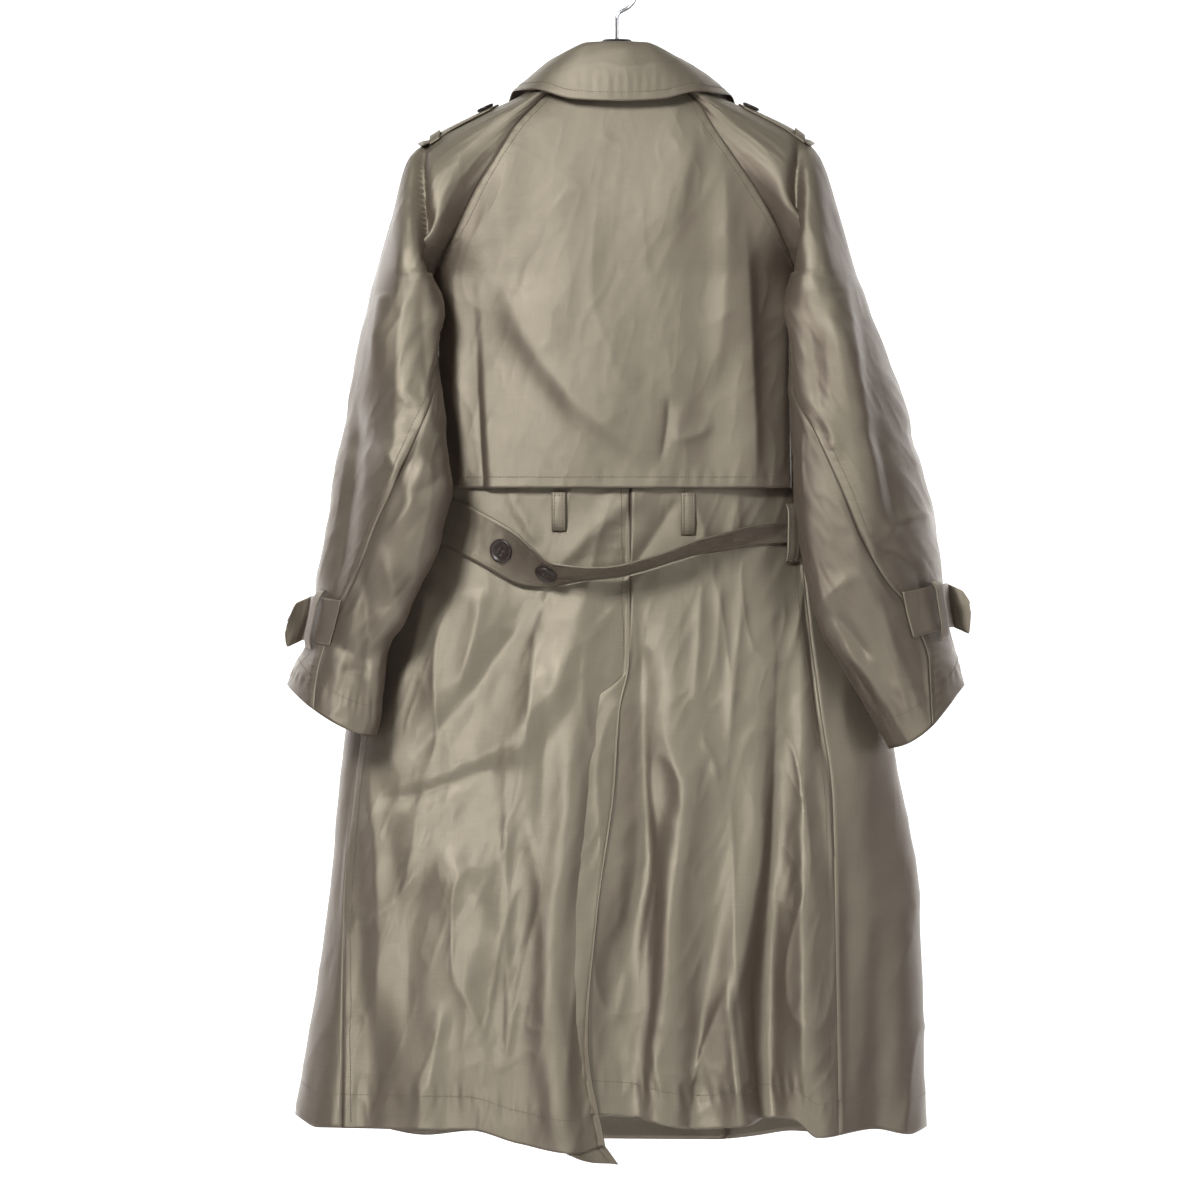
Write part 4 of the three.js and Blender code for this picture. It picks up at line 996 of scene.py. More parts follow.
BACK_CREASES = Table(CREASE_COLUMNS, [
    (-20, 630, -217, 860, 22, 26, 15, 5.0),
    (-87, 635, -215, 800, 6, 14, 16, -5.5),
    (-47, 690, -120, 800, 10, 22, 14, 5.5),
    (-232, 832, -110, 786, -6, 15, 9, -6.0),
    (-202, 905, -254, 962, 3, 3, 5, 2.2),
    (-182, 880, -110, 1012, 14, 30, 15, 5.5),
    (-112, 795, -108, 1105, 0, 4, 7, 1.9),
    (-250, 800, -240, 1060, 8, 14, 12, 6.0),
    (-222, 880, -214, 1100, 8, 12, 24, -3.5),
    (-177, 1040, -200, 1142, 5, 9, 12, 3.2),
    (-150, 960, -152, 1160, 0, 10, 16, 2.4),
    (-62, 1010, -46, 1160, 4, 12, 10, 3.2),
    (-132, 600, -160, 720, 4, 8, 10, 2.6),
    (-187, 605, -222, 730, 4, 10, 9, 3.4),
    (-60, 605, -100, 690, 0, 9, 10, -2.6),
    (-92, 840, -72, 1000, 4, 9, 14, 2.2),
    (-70, 700, -78, 860, 0, 8, 12, -2.0),
    (-62, 600, 28, 522, 4, 11, 13, 4.2),
    (6, 612, 62, 528, 0, 9, 9, -3.4),
    (72, 522, 98, 612, 3, 7, 8, 3.0),
    (-110, 520, -78, 575, 0, 8, 10, 2.6),
    (122, 525, 112, 600, 0, 7, 8, 2.6),
    (22, 640, 30, 900, 0, 15, 12, -8.0),
    (60, 640, 64, 1150, -10, 22, 26, 5.0),
    (154, 650, 90, 1100, 24, 22, 12, 7.0),
    (160, 680, 150, 1100, 0, 12, 10, -7.0),
    (184, 660, 188, 1145, 0, 9, 12, 6.0),
    (84, 618, 78, 735, 0, 6, 8, 2.8),
    (104, 612, 98, 715, 0, 6, 7, 2.6),
    (126, 615, 112, 765, 0, 7, 7, 3.0),
    (46, 760, 66, 850, 4, 7, 9, 2.4),
    (84, 770, 100, 812, 3, 4, 6, 2.2),
    (112, 1012, 124, 1156, 0, 8, 6, 6.0),
    (110, 1020, 72, 1116, 0, 4, 9, 3.0),
    (49, 1102, 82, 1112, 0, 3, 5, 2.0),
    (36, 870, 30, 1090, 6, 12, 9, -5.0),
    (203, 768, 276, 858, 8, 13, 8, -5.0),
    (214, 700, 262, 800, 6, 9, 12, 4.2),
    (232, 860, 252, 1010, 6, 10, 13, 3.6),
    (222, 940, 240, 1110, 4, 9, 10, -3.2),
    (263, 1022, 270, 1090, 0, 4, 8, -3.2),
    (286, 900, 292, 1060, 0, 8, 8, 3.0),
    (200, 590, 205, 770, 0, 9, 8, -7.0),
    (140, 1000, 146, 1150, 0, 6, 10, -3.6),
    (11, 1000, -4, 1052, 3, 4, 5, 1.8),
])

FLAP_CREASES = Table(CREASE_COLUMNS, [
    (-114, 316, 46, 492, -20, 17, 60, 6.5),
    (-162, 290, -152, 515, 0, 9, 9, 2.8),
    (-108, 160, -120, 270, 0, 14, 18, 2.4),
    (80, 160, 52, 268, 0, 26, 13, 4.2),
    (108, 195, 98, 400, 5, 12, 12, 3.4),
    (128, 262, 136, 520, 0, 24, 7, 6.5),
    (166, 300, 160, 515, 0, 12, 9, 3.6),
    (50, 428, 43, 490, 2, 3, 6, -2.6),
    (54, 470, 94, 456, -4, 5, 8, 2.4),
    (-57, 400, -30, 520, 4, 14, 18, 2.0),
    (84, 400, 98, 515, -5, 18, 16, -2.6),
    (-14, 470, 20, 400, 4, 12, 16, 1.4),
    (20, 200, 60, 330, 8, 30, 36, 1.8),
    (-60, 180, -40, 330, -6, 30, 34, 1.6),
])


@dataclass
class BackPanel:
    """One half of the back, from the raglan seam to the hem."""

    side: Side
    columns: int = 140
    stitch_from_edge: float = 9
    hem_deep: float = TURN_HEM

    def sheet(self) -> Sheet:
        """The panel's middle surface.

        Returns:
            The sheet: the body's oval from the seam to the centre back, with folds and creases.
        """
        left = self.side is Side.LEFT
        rows = levels((BACK_TOP, 470, 40), (470, FAN_START, 130), (FAN_START, HEM_LEVEL, 42))
        u = np.linspace(0, 1, self.columns + 1)[:, None]
        level = rows[None]
        from_seam = u if left else 1 - u
        seam = self.side.sign * BODY.at(f"seam_{self.side.value}", level)
        middle = VENT_EDGE.at("over" if left else "under", level)
        angle = mix(back_angle(seam, level), back_angle(middle, level), from_seam)
        across = -body_point(angle, level)[..., 0]
        hem = (HEM_BACK_LEFT if left else HEM_BACK_RIGHT).at("drop", across)
        drop = skirt_drop(level, hem)
        sink = 0 if left else VENT_EDGE.at("sink", level) * ease(190, 40, across)
        sheet = Sheet(body_point(angle, drop, -sink), BACKWARD)
        width = np.linalg.norm(np.diff(sheet.points, axis=0), axis=-1).sum(0)
        from_edge = (1 - from_seam) * width[None]
        return sheet.raised(self.relief(across, drop, from_edge, from_seam * width[None], hem))

    def relief(self, across: Grid, drop: Grid, from_edge: Grid, from_seam: Grid, hem: Grid) -> Grid:
        """The creases, hem ripples and rolled vent edge.

        Args:
            across: the distances across.
            drop: the drops below the hook.
            from_edge: the distances from the centre back's edge.
            from_seam: the distances from the side seam.
            hem: the hem's drops.

        Returns:
            The heights out of the sheet.
        """
        left = self.side is Side.LEFT
        seed = 11 if left else 31
        rumple = Rumple(seed, across=52, down=190, height=2.6, crease=1.7, slant=0.16 if left else -0.12)
        soft = ease(560, 760, drop)
        relief = crease_heights(BACK_CREASES, across, drop)
        relief += rumple.heights(across, drop) * mix(0.6, 1, soft)
        relief += Rumple(seed + 5, 19, 52, 0.32, 0.4, 0.4).heights(across, drop)
        away = drop - (hem - self.hem_deep)
        relief += puckers(across, away, seed + 9, 12, 0.6, 11)
        relief += 2.2 * noise(across / 24, 0 * drop, seed + 12) * ease(1085, 1150, drop)
        if left:
            roll = ease(26, 0, from_edge) * ease(720, 840, drop)
            relief -= 9 * roll
            relief += 6 * np.exp(-((from_edge - 30) / 12) ** 2) * ease(660, 800, drop)
            from_stitch = from_edge - self.stitch_from_edge
            relief += puckers(drop, from_stitch, seed + 2, 13, 0.5, 7) * ease(700, 640, drop)
        else:
            valley = np.exp(-((from_edge - 62 - 8 * np.sin(drop / 60)) / 15) ** 2)
            relief -= 7 * valley * ease(730, 830, drop) * ease(1190, 1050, drop)
            relief += 6 * np.exp(-((from_edge - 92) / 16) ** 2) * ease(760, 900, drop)
        relief *= ease(0, 5, from_seam) * ease(0, 1.5, from_edge)
        under_belt = ease(108, 122, np.abs(across)) * ease(628, 618, drop)
        relief = mix(relief, np.minimum(relief, 1.2), under_belt)
        hidden = ease(505, 485, drop)
        return mix(relief, np.minimum(relief, 0) * 0.3 - 0.4 * hidden, hidden)

    def build(self) -> bpy.types.Object:
        """Makes the panel."""
        return cloth_piece(f"back_{self.side.value}", self.sheet())


@dataclass
class StormFlap:
    """The loose flap over the upper back."""

    columns: int = 200
    hem_deep: float = 11

    def build(self) -> bpy.types.Object:
        """Makes the flap.

        Returns:
            The object.
        """
        drop = levels((BACK_TOP, UNDERARM, 56), (UNDERARM, FLAP_HEM, 76))[None]
        u = np.linspace(0, 1, self.columns + 1)[:, None]
        inset = 1 - 0.06 * ease(UNDERARM - 23, UNDERARM + 60, drop)
        left = back_angle(-inset * BODY.at("seam_left", drop), drop)
        right = back_angle(inset * BODY.at("seam_right", drop), drop)
        middle = back_angle(CENTRE_BACK, drop)
        angle = np.where(u < 0.5, mix(left, middle, 2 * u), mix(right, middle, 2 - 2 * u))
        across = -body_point(angle, drop)[..., 0]
        free = ease(UNDERARM - 20, FLAP_HEM, drop)
        fold_line = mix(-142, -128, (drop - 278) / 230)
        folded = 5 * ease(-4, 4, across - fold_line)
        sheet = Sheet(body_point(angle, drop, LAYER + 1 + free * (0.6 + folded)), BACKWARD)
        from_seam = np.minimum(u, 1 - u) * 2 * FLAP_SEAM
        relief = crease_heights(FLAP_CREASES, across, drop * np.ones_like(across))
        relief += Rumple(71, 70, 150, 1.5, 0.6, 0.1).heights(across, drop) * ease(130, 240, drop)
        relief += Rumple(77, 19, 46, 0.24, 0.28, 0.3).heights(across, drop)
        relief += puckers(across, drop - FLAP_HEM + self.hem_deep, 80, 14, 0.4, 7)
        relief += puckers(drop * 1.15, from_seam - 10, 83, 11, 0.7, 8) * ease(320, 290, drop)
        relief = np.maximum(relief + 0.6 + 1.4 * free, -1.2 - 1.2 * free)
        relief *= ease(0, 6, from_seam)
        return cloth_piece("storm_flap", sheet.raised(relief))


@dataclass
class VentFacing:
    """The left panel's turned-in edge, whose loose corner shows below the hem."""

    def build(self) -> bpy.types.Object:
        """Makes the facing.

        Returns:
            The object.
        """
        panel = SHEETS["back_left"]
        start = int(panel.points.shape[0] * 8 / 9)
        grid = panel.points[start:, -36:].copy()
        u = np.linspace(0, 1, grid.shape[0])[:, None]
        tail = np.arange(1, 13)[None] / 12
        hanging = place(tail * mix(4, 13, u), 0 * u * tail, tail * mix(2, 18, u))
        grid = np.concatenate((grid, grid[:, -1:] + hanging), 1)
        grid = grid - np.array([0.0, LAYER + 0.6, 0.0])
        sheet = Sheet(grid, BACKWARD)
        return cloth_piece("vent_facing", sheet)


def front_edge(side: Side, drop: Grid) -> Grid:
    """How far across each front's free edge lies."""
    fall = np.clip((drop - FRONT_TOP) / (BREAK_POINT - FRONT_TOP), 0, 1)
    return -side.sign * (mix(-56, FRONT_LAP, fall) + 36 * ease(WAIST, HEM_LEVEL, drop))


@dataclass
class FrontPanel:
    """One front, from the side seam round to its free edge."""

    side: Side
    columns: int = 100
    hem_deep: float = TURN_HEM

    def build(self) -> bpy.types.Object:
        """Makes the front.

        Returns:
            The object.
        """
        seams = f"seam_{self.side.value}"
        level = levels((FRONT_TOP, UNDERARM, 26), (UNDERARM, FAN_START, 76),
                       (FAN_START, HEM_LEVEL, 28))[None]
        u = np.linspace(0, 1, self.columns + 1)[:, None]
        seam = self.side.sign * BODY.at(seams, level)
        start = np.where(level < UNDERARM, front_angle(seam, level), back_angle(seam, level))
        start = np.where(start < 0, start + TURN, start)
        angle = mix(start, front_angle(front_edge(self.side, level), level), u)
        across = -body_point(angle, level)[..., 0]
        hem = HEM_FRONT.at("drop", across)
        drop = skirt_drop(level, hem)
        over = 0.0
        if self.side is Side.RIGHT:
            over = RIGHT_FRONT_OUT * ease(195, 135, across) * ease(133, 200, level) * ease(0, 0.4, u)
        sheet = Sheet(body_point(angle, drop, over), FORWARD)
        seed = 41 if self.side is Side.LEFT else 51
        width = np.linalg.norm(np.diff(sheet.points, axis=0), axis=-1).sum(0)[None]
        low = ease(560, 760, drop)
        relief = Rumple(seed, 50, 190, 2.6, 1.6, 0.1).heights(across, drop) * mix(0.35, 1, low)
        relief += Rumple(seed + 5, 19, 52, 0.3, 0.4, 0.4).heights(across, drop)
        relief += puckers(across, drop - (hem - self.hem_deep), seed + 9, 12, 0.6, 11)
        if self.side is Side.LEFT:
            relief = np.where(across > -80, np.minimum(relief, 0.5), relief)
        else:
            relief = np.where(across < 90, np.maximum(relief, -0.5), relief)
        side_free = ease(0, 14, u * width)
        relief *= mix(side_free, ease(0, 5, u * width), ease(500, 300, drop)) * ease(0, 4, (1 - u) * width)
        name = f"front_{self.side.value}"
        return cloth_piece(name, sheet.raised(relief))


@dataclass
class Lapel:
    """A front's turned-back upper edge."""

    side: Side
    start: float = 150
    end: float = BREAK_POINT - 12

    def build(self) -> bpy.types.Object:
        """Makes the lapel.

        Returns:
            The object.
        """
        toward = self.side.sign
        base = RIGHT_FRONT_OUT + LAYER if self.side is Side.RIGHT else LAYER
        wide = 82 if self.side is Side.RIGHT else 78
        u = np.linspace(0, 1, 25)[:, None]
        v = np.linspace(0, 0.97, 70)[None]
        drop = mix(self.start, self.end, v)
        reach = np.minimum(1, (1 - v) * 1.15) * wide
        across = front_edge(self.side, drop) + toward * (1 + u * reach + 1)
        level = drop + u * mix(8, 26, v) * (1 - v)
        seam = BODY.at(f"seam_{self.side.value}", level)
        over_seam = 7.5 * ease(seam - 30, seam, np.abs(across))
        lift = base + 1.6 * ease(0, 0.3, u) + over_seam + 1.2 * u
        sheet = Sheet(body_point(front_angle(across, level), level, lift), FORWARD)
        return cloth_piece(f"lapel_{self.side.value}", sheet)


LEFT_SLEEVE_CREASES = Table(CREASE_COLUMNS, [
    (-212, 226, -244, 402, -3, 7, 17, 4.4),
    (-262, 428, -284, 628, 4, 7, 10, -6.5),
    (-278, 440, -298, 622, 4, 9, 7, 3.4),
    (-172, 556, -240, 672, 6, 15, 10, 5.5),
    (-190, 478, -228, 566, 6, 9, 13, 4.0),
    (-172, 505, -208, 524, 3, 8, 9, -3.2),
    (-196, 322, -186, 430, 0, 9, 11, -3.0),
    (-245, 470, -205, 528, 5, 7, 12, 2.6),
    (-232, 585, -216, 690, 4, 9, 12, 3.6),
    (-258, 600, -250, 745, 6, 8, 12, -3.6),
    (-284, 672, -240, 692, -4, 6, 8, -3.6),
    (-278, 700, -246, 708, 3, 5, 7, -3.0),
    (-240, 690, -242, 762, 0, 6, 9, 2.6),
    (-202, 600, -236, 640, 4, 8, 12, -3.2),
    (-222, 420, -186, 458, 5, 8, 11, 3.0),
])
RIGHT_SLEEVE_CREASES = Table(CREASE_COLUMNS, [
    (226, 298, 269, 556, -6, 22, 9, 6.5),
    (204, 250, 240, 440, -4, 12, 14, 3.2),
    (262, 462, 284, 566, 0, 10, 10, -3.6),
    (268, 562, 320, 548, 5, 7, 9, 4.2),
    (262, 578, 304, 602, 4, 8, 8, -3.6),
    (190, 428, 220, 486, 5, 8, 11, 3.6),
    (198, 642, 238, 606, 4, 9, 9, 4.0),
    (220, 676, 266, 734, 6, 10, 10, 4.6),
    (206, 640, 250, 690, 4, 8, 10, -4.0),
    (192, 352, 206, 470, 0, 8, 11, -3.0),
    (262, 640, 292, 748, 0, 7, 9, 3.0),
    (236, 560, 262, 640, -6, 9, 10, 3.4),
    (300, 600, 316, 650, 0, 6, 7, -2.4),
    (236, 700, 262, 766, 4, 6, 8, -2.6),
])


def arm_seam_turn(side: Side, drop: Grid) -> Grid:
    """The back-arm seam's place round the sleeve."""
    return np.where(drop < UNDERARM, 1, SLEEVES[side].at("seam", drop) / 180)


def front_seam_turn(drop: Grid) -> Grid:
    """The front seam's place round the sleeve."""
    return np.where(drop < UNDERARM, -1, mix(-174, -150, ease(UNDERARM, 420, drop)) / 180)


@dataclass
class Sleeve:
    """A raglan sleeve of two parts, joined below the underarm."""

    side: Side
    upper_columns: int = 120
    under_columns: int = 50
    under_depth: float = 50
    hem_deep: float = 30

    def shoulder_fold(self, turn: Grid, drop: Grid) -> Grid:
        """The deep fold's height, where the hanging part laps over the shoulder.

        Args:
            turn: the places round the sleeve.
            drop: the drops below the hook.

        Returns:
            The heights: a soft swell beside the fold's line, less a sharp dip on the line.
        """
        line = SHOULDER_FOLD.at(self.side.value, drop)
        sharp = (turn - line) / np.where(turn > line, 0.12, 0.045)
        raised = (turn - line + 0.17) / 0.2
        proud = SHOULDER_FOLD.at("proud", drop) * np.exp(-raised * raised)
        return proud - 1.7 * SHOULDER_FOLD.at("deep", drop) * np.exp(-sharp * sharp)

    def part(self, upper: bool) -> Sheet:
        """The middle surface of the upper or the under part.

        Args:
            upper: whether it is the upper part.

        Returns:
            The sheet.
        """
        end = float(SLEEVES[self.side].key[-1])
        below = levels((UNDERARM, end, 128))
        drop = (np.concatenate((levels((BACK_TOP, UNDERARM, 50))[:-1], below)) if upper else below)[None]
        back, front = arm_seam_turn(self.side, drop), front_seam_turn(drop)
        count = self.upper_columns if upper else self.under_columns
        u = np.linspace(0, 1, count + 1)[:, None]
        turn = mix(back, front, u) if upper else mix(front + 2, back, u)
        around = np.where(turn > 1, turn - 2, turn)
        fold = self.shoulder_fold(around, drop) * ease(0, 0.12, back - around) if upper else 0 * turn * drop
        points = sleeve_point(self.side, around, drop, fold)
        centre = np.broadcast_to(points.mean(0, keepdims=True), points.shape)
        if not upper:
            inner = SLEEVES[self.side].at("inner", drop)
            outer = SLEEVES[self.side].at("outer", drop)
            centre = place(self.side.sign * (inner + outer) / 2, self.under_depth, drop)
        sheet = Sheet(points, points - centre)
        width = np.linalg.norm(np.diff(points, axis=0), axis=-1).sum(0)[None]
        edge = np.minimum(u, 1 - u) * width
        relief = self.relief(sheet, turn, drop, u * width, edge, end, upper)
        return sheet.raised(relief)

    def relief(self, sheet: Sheet, turn: Grid, drop: Grid, from_back: Grid, edge: Grid, end: float,
               upper: bool) -> Grid:
        """The creases, seam and cuff ripples.

        Args:
            sheet: the part's plain surface.
            turn: the places round the sleeve.
            drop: the drops below the hook.
            from_back: the distances from the back seam.
            edge: the distances from the nearest seam.
            end: the cuff's drop.
            upper: whether it is the upper part.

        Returns:
            The heights out of the sheet.
        """
        left = self.side is Side.LEFT
        seed = 101 if left else 131
        creases = LEFT_SLEEVE_CREASES if left else RIGHT_SLEEVE_CREASES
        facing = ease(-0.1, 0.35, sheet.normals()[..., 1])
        relief = crease_heights(creases, sheet.across, sheet.drop) * facing
        ring = turn * 190
        body = ease(150, 330, drop)
        relief += Rumple(seed, 54, 170, 1.6, 1.0, 0.15).heights(ring, drop) * mix(0.3, 1, body)
        relief += Rumple(seed + 4, 17, 40, 0.3, 0.45, 0.5).heights(ring, drop)
        elbow = np.exp(-(((drop - 470) / 70) ** 2))
        relief += 2.2 * elbow * noise(ring / 60, drop / 26, seed + 8)
        relief += puckers(ring, drop - end + self.hem_deep, seed + 12, 12, 0.6, 9)
        if upper:
            seam_side = ease(330, 360, drop)
            relief += puckers(drop, from_back - 10, seed + 14, 11, 0.7, 8) * mix(0.6, 1, seam_side)
        relief *= ease(0, 5, edge)
        return np.where(drop < UNDERARM + 20, np.minimum(relief, 3), relief)

    def build(self) -> list[bpy.types.Object]:
        """Makes both parts."""
        upper, under = f"sleeve_upper_{self.side.value}", f"sleeve_under_{self.side.value}"
        return [
            cloth_piece(upper, self.part(True)),
            cloth_piece(under, self.part(False)),
        ]


def collar_point(turn: Grid, w: Grid) -> Grid:
    """Points of the collar: w runs from -1 at the stand's foot over 0 at the roll to 1 at the edge.

    Args:
        turn: the place round the neck, 0 at the centre back and 1 at the collar's ends.
        w: the place down the cloth.

    Returns:
        The points. The stand is straight from foot to roll, and the leaf a curve drawn by
        roll, belly and edge.
    """
    turn, w = np.broadcast_arrays(turn, w)
    away, side = np.abs(turn), np.sign(turn)
    soft = away * (1 - np.exp(-((turn / 0.12) ** 2)))
    right = side > 0
    skewed = np.where(right, 0.1 * ease(0.2, 0.6, away), 0)
    low = np.where(right, 4 * ease(0.3, 0.5, away), 0)

    def line(name: str, wider: Grid | float = 0.0, lower: Grid | float = 0.0) -> Grid:
        """One of the table's three lines, made wider and lower by a little."""
        x, y, z = (COLLAR.at(f"{name}_{axis}", where) for axis, where in zip("xyz", (away, soft, soft)))
        return place(side * x * (1 + wider), y, z + lower)

    foot, roll, edge = line("foot"), line("roll"), line("edge", skewed, low)
    belly = mix(roll, edge, 0.35)
    belly[..., 2] += 0.3 * (roll[..., 2] - edge[..., 2])
    t = np.clip(w, 0, 1)[..., None]
    leaf = (1 - t) ** 2 * roll + 2 * t * (1 - t) * belly + t * t * edge
    stand = mix(foot, roll, 1 + w[..., None])
    return np.where(w[..., None] < 0, stand, leaf)


@dataclass
class Collar:
    """The collar's stand and the leaf that rolls over it."""

    columns: int = 190
    stitch_from_edge: float = 9

    def build(self) -> list[bpy.types.Object]:
        """Makes the stand and the leaf.

        Returns:
            The two objects.
        """
        turn = np.linspace(-1, 1, self.columns + 1)[:, None]
        stand = Sheet(collar_point(turn, np.linspace(-1, -0.01, 9)[None]), np.array([0.0, 0.0, 0.0]))
        away = stand.points * np.array([1.0, 1.0, 0.0])
        stand = Sheet(stand.points, away)
        w = np.linspace(0.03, 1, 37)[None]
        points = collar_point(turn, w)
        leaf = Sheet(points, points * np.array([1.0, 1.0, 0.0]) + np.array([0.0, 0.0, 4.0]))
        across = leaf.across
        down = w * 55
        relief = Rumple(151, 42, 30, 0.9, 0.35, 0.3).heights(across, down * np.ones_like(across))
        relief += puckers(across, down - 55 + self.stitch_from_edge, 157, 10, 0.22, 6)
        relief *= ease(0, 0.25, w)
        leaf = leaf.raised(relief + 0.8)
        return [
            cloth_piece("collar_stand", stand),
            cloth_piece("collar_leaf", leaf),
        ]


def strip_points(middle: Grid, along: Grid, half: Grid, steps: int) -> Grid:
    """A strap's points from its middle line, width direction and half width."""
    reach = np.linspace(-1, 1, steps)[None, :, None] * half[:, None, None]
    return middle[:, None] + along[:, None] * reach


def ridge_normal(side: Side, drop: Grid) -> Grid:
    """The upward normals along the shoulder's ridge.

    Args:
        side: the wearer's side.
        drop: the drops below the hook.

    Returns:
        The normals, in the plane across the coat.
    """
    along = sleeve_point(side, 0.0, drop + 6) - sleeve_point(side, 0.0, drop - 6)
    normal = unit(np.cross([0.0, 1.0, 0.0], along))
    return np.where(normal[..., 2:] < 0, -normal, normal)


@dataclass
class Epaulette:
    """A shoulder strap with its loop."""

    side: Side
    start: float = 143
    end: float = 200
    loop_drop: float = 181
    loop_rise: float = 5.2

    def build(self) -> list[bpy.types.Object]:
        """Makes the strap and the loop.

        Returns:
            The two objects.
        """
        u = np.linspace(0, 1, 61)
        drop = mix(self.start, self.end, u)
        normal = ridge_normal(self.side, drop)
        half = mix(17, 22, u) * np.sqrt(np.clip(u / 0.1, 0.12, 1))
        lift = LAYER + 0.7 + 3 * ease(0.78, 1, u)
        size = sleeve_section(self.side, drop)
        reach = np.linspace(-1, 1, 17)[None] * half[:, None]
        turn = np.arcsin(reach / size["deep"][:, None]) / size["limit"][:, None]
        up = normal[:, None] * lift[:, None, None]
        laid = sleeve_point(self.side, turn, drop[:, None]) + up
        bridge = np.broadcast_to(sleeve_point(self.side, 0.0, drop)[:, None] + up, laid.shape).copy()
        bridge[..., 1] += reach
        bridge[..., 2] -= 3 * (reach / half[:, None]) ** 2
        points = np.where(laid[..., 2:] > bridge[..., 2:], laid, bridge)
        strap = Sheet(points, UPWARD)
        name = self.side.value
        strap = strap.raised(0.25 * np.cos(np.linspace(-1, 1, 17) * 5)[None] * np.ones((61, 1)))
        made = [cloth_piece(f"epaulette_{name}", strap, thickness=STRAP)]
        reach = np.linspace(-1, 1, 41)
        middle = sleeve_point(self.side, 0.0, np.full(41, self.loop_drop))
        middle = middle + ridge_normal(self.side, np.full(41, self.loop_drop)) * self.loop_rise
        middle[:, 1] += reach * 27
        middle[:, 2] -= 9 * np.abs(reach) ** 4
        along = unit(sleeve_point(self.side, 0.0, np.full(41, self.loop_drop + 5.0))
                     - sleeve_point(self.side, 0.0, np.full(41, self.loop_drop - 5.0)))
        loop = Sheet(strip_points(middle, along, np.full(41, 6.0), 7), UPWARD)
        made.append(cloth_piece(f"epaulette_loop_{name}", loop))
        return made


@dataclass
class CuffStrap:
    """A cuff's strap with a free pointed tip, and its loop."""

    side: Side
    high: float = 640
    tall: float = 44
    tip_at: float = 0.62
    loop_turn: float = 0.2

    def build(self) -> list[bpy.types.Object]:
        """Makes the strap and the loop.

        Returns:
            The two objects.
        """
        side, name = self.side, self.side.value
        start = float(arm_seam_turn(side, np.array(self.high + self.tall / 2))) + 0.02
        u, v = np.linspace(0, 1, 91)[:, None], np.linspace(0, 1, 23)[None]
        past = np.clip(u - self.tip_at, 0, None) / (1 - self.tip_at)
        point = np.clip(past - 0.7, 0, None) / 0.3
        height = mix(v, 0.5, 0.75 * point ** 1.5)
        turn = mix(start, -0.06, np.minimum(1, u / self.tip_at))
        drop = self.high + height * self.tall
        lift = LAYER + 0.5 + 2.4 * ease(0.02, 0.2, u) + 0 * drop
        points = sleeve_point(side, turn, drop, lift)
        points = points + past[..., None] * np.array([-side.sign * 22.0, 8.0, -10.0])
        strap = Sheet(points, points - points.mean((0, 1)))
        rumple = Rumple(171 if side is Side.LEFT else 175, 30, 40, 0.8, 0.3)
        ripple = rumple.heights(*np.broadcast_arrays(u * 150, v * self.tall))
        strap = strap.raised(ripple * ease(0, 0.15, u) + 0.6 * ease(0, 0.2, u))
        made = [cloth_piece(f"cuff_strap_{name}", strap, thickness=STRAP)]
        run = np.linspace(0, 1, 31)
        drop = mix(self.high - 8, self.high + self.tall + 8, run)
        lift = 8.6 - 6.2 * np.abs(2 * run - 1) ** 4
        middle = sleeve_point(side, self.loop_turn, drop, lift)
        along = unit(sleeve_point(side, self.loop_turn + 0.05, drop, lift) - middle)
        loop_points = strip_points(middle, along, np.full(31, 6.5), 7)
        loop = Sheet(loop_points, sleeve_normal(side, np.full(31, self.loop_turn), drop)[:, None])
        made.append(cloth_piece(f"cuff_loop_{name}", loop))
        return made


@dataclass
class BeltLoop:
    """A narrow strip sewn down above and below the belt."""

    name: str
    across: float
    top: float
    bottom: float
    rise: float
    square: float

    def build(self) -> bpy.types.Object:
        """Makes the loop.

        Returns:
            The object.
        """
        run = np.linspace(0, 1, 33)
        drop = mix(self.top, self.bottom, run)
        lift = LAYER + 0.2 + self.rise * (1 - np.abs(2 * run - 1) ** self.square)
        middle = body_point(back_angle(self.across, drop), drop, lift)
        aside = body_point(back_angle(self.across + 4, drop), drop, lift)
        points = strip_points(middle, unit(aside - middle), np.full(33, 7.0), 9)
        sheet = Sheet(points, BACKWARD)
        sheet = sheet.raised(0.5 + 0.25 * np.cos(np.linspace(-1, 1, 9) * 4.5)[None] * np.ones((33, 1)))
        return cloth_piece(self.name, sheet)


BELT_LOOPS = (
    BeltLoop("belt_loop_1", -58, 522, 561, 3, 3),
    BeltLoop("belt_loop_2", 71, 522, 565, 3, 3),
    BeltLoop("side_loop_left", -190, 519, 582, 5.6, 6),
    BeltLoop("side_loop_right", 174, 534, 592, 5.6, 6),
)


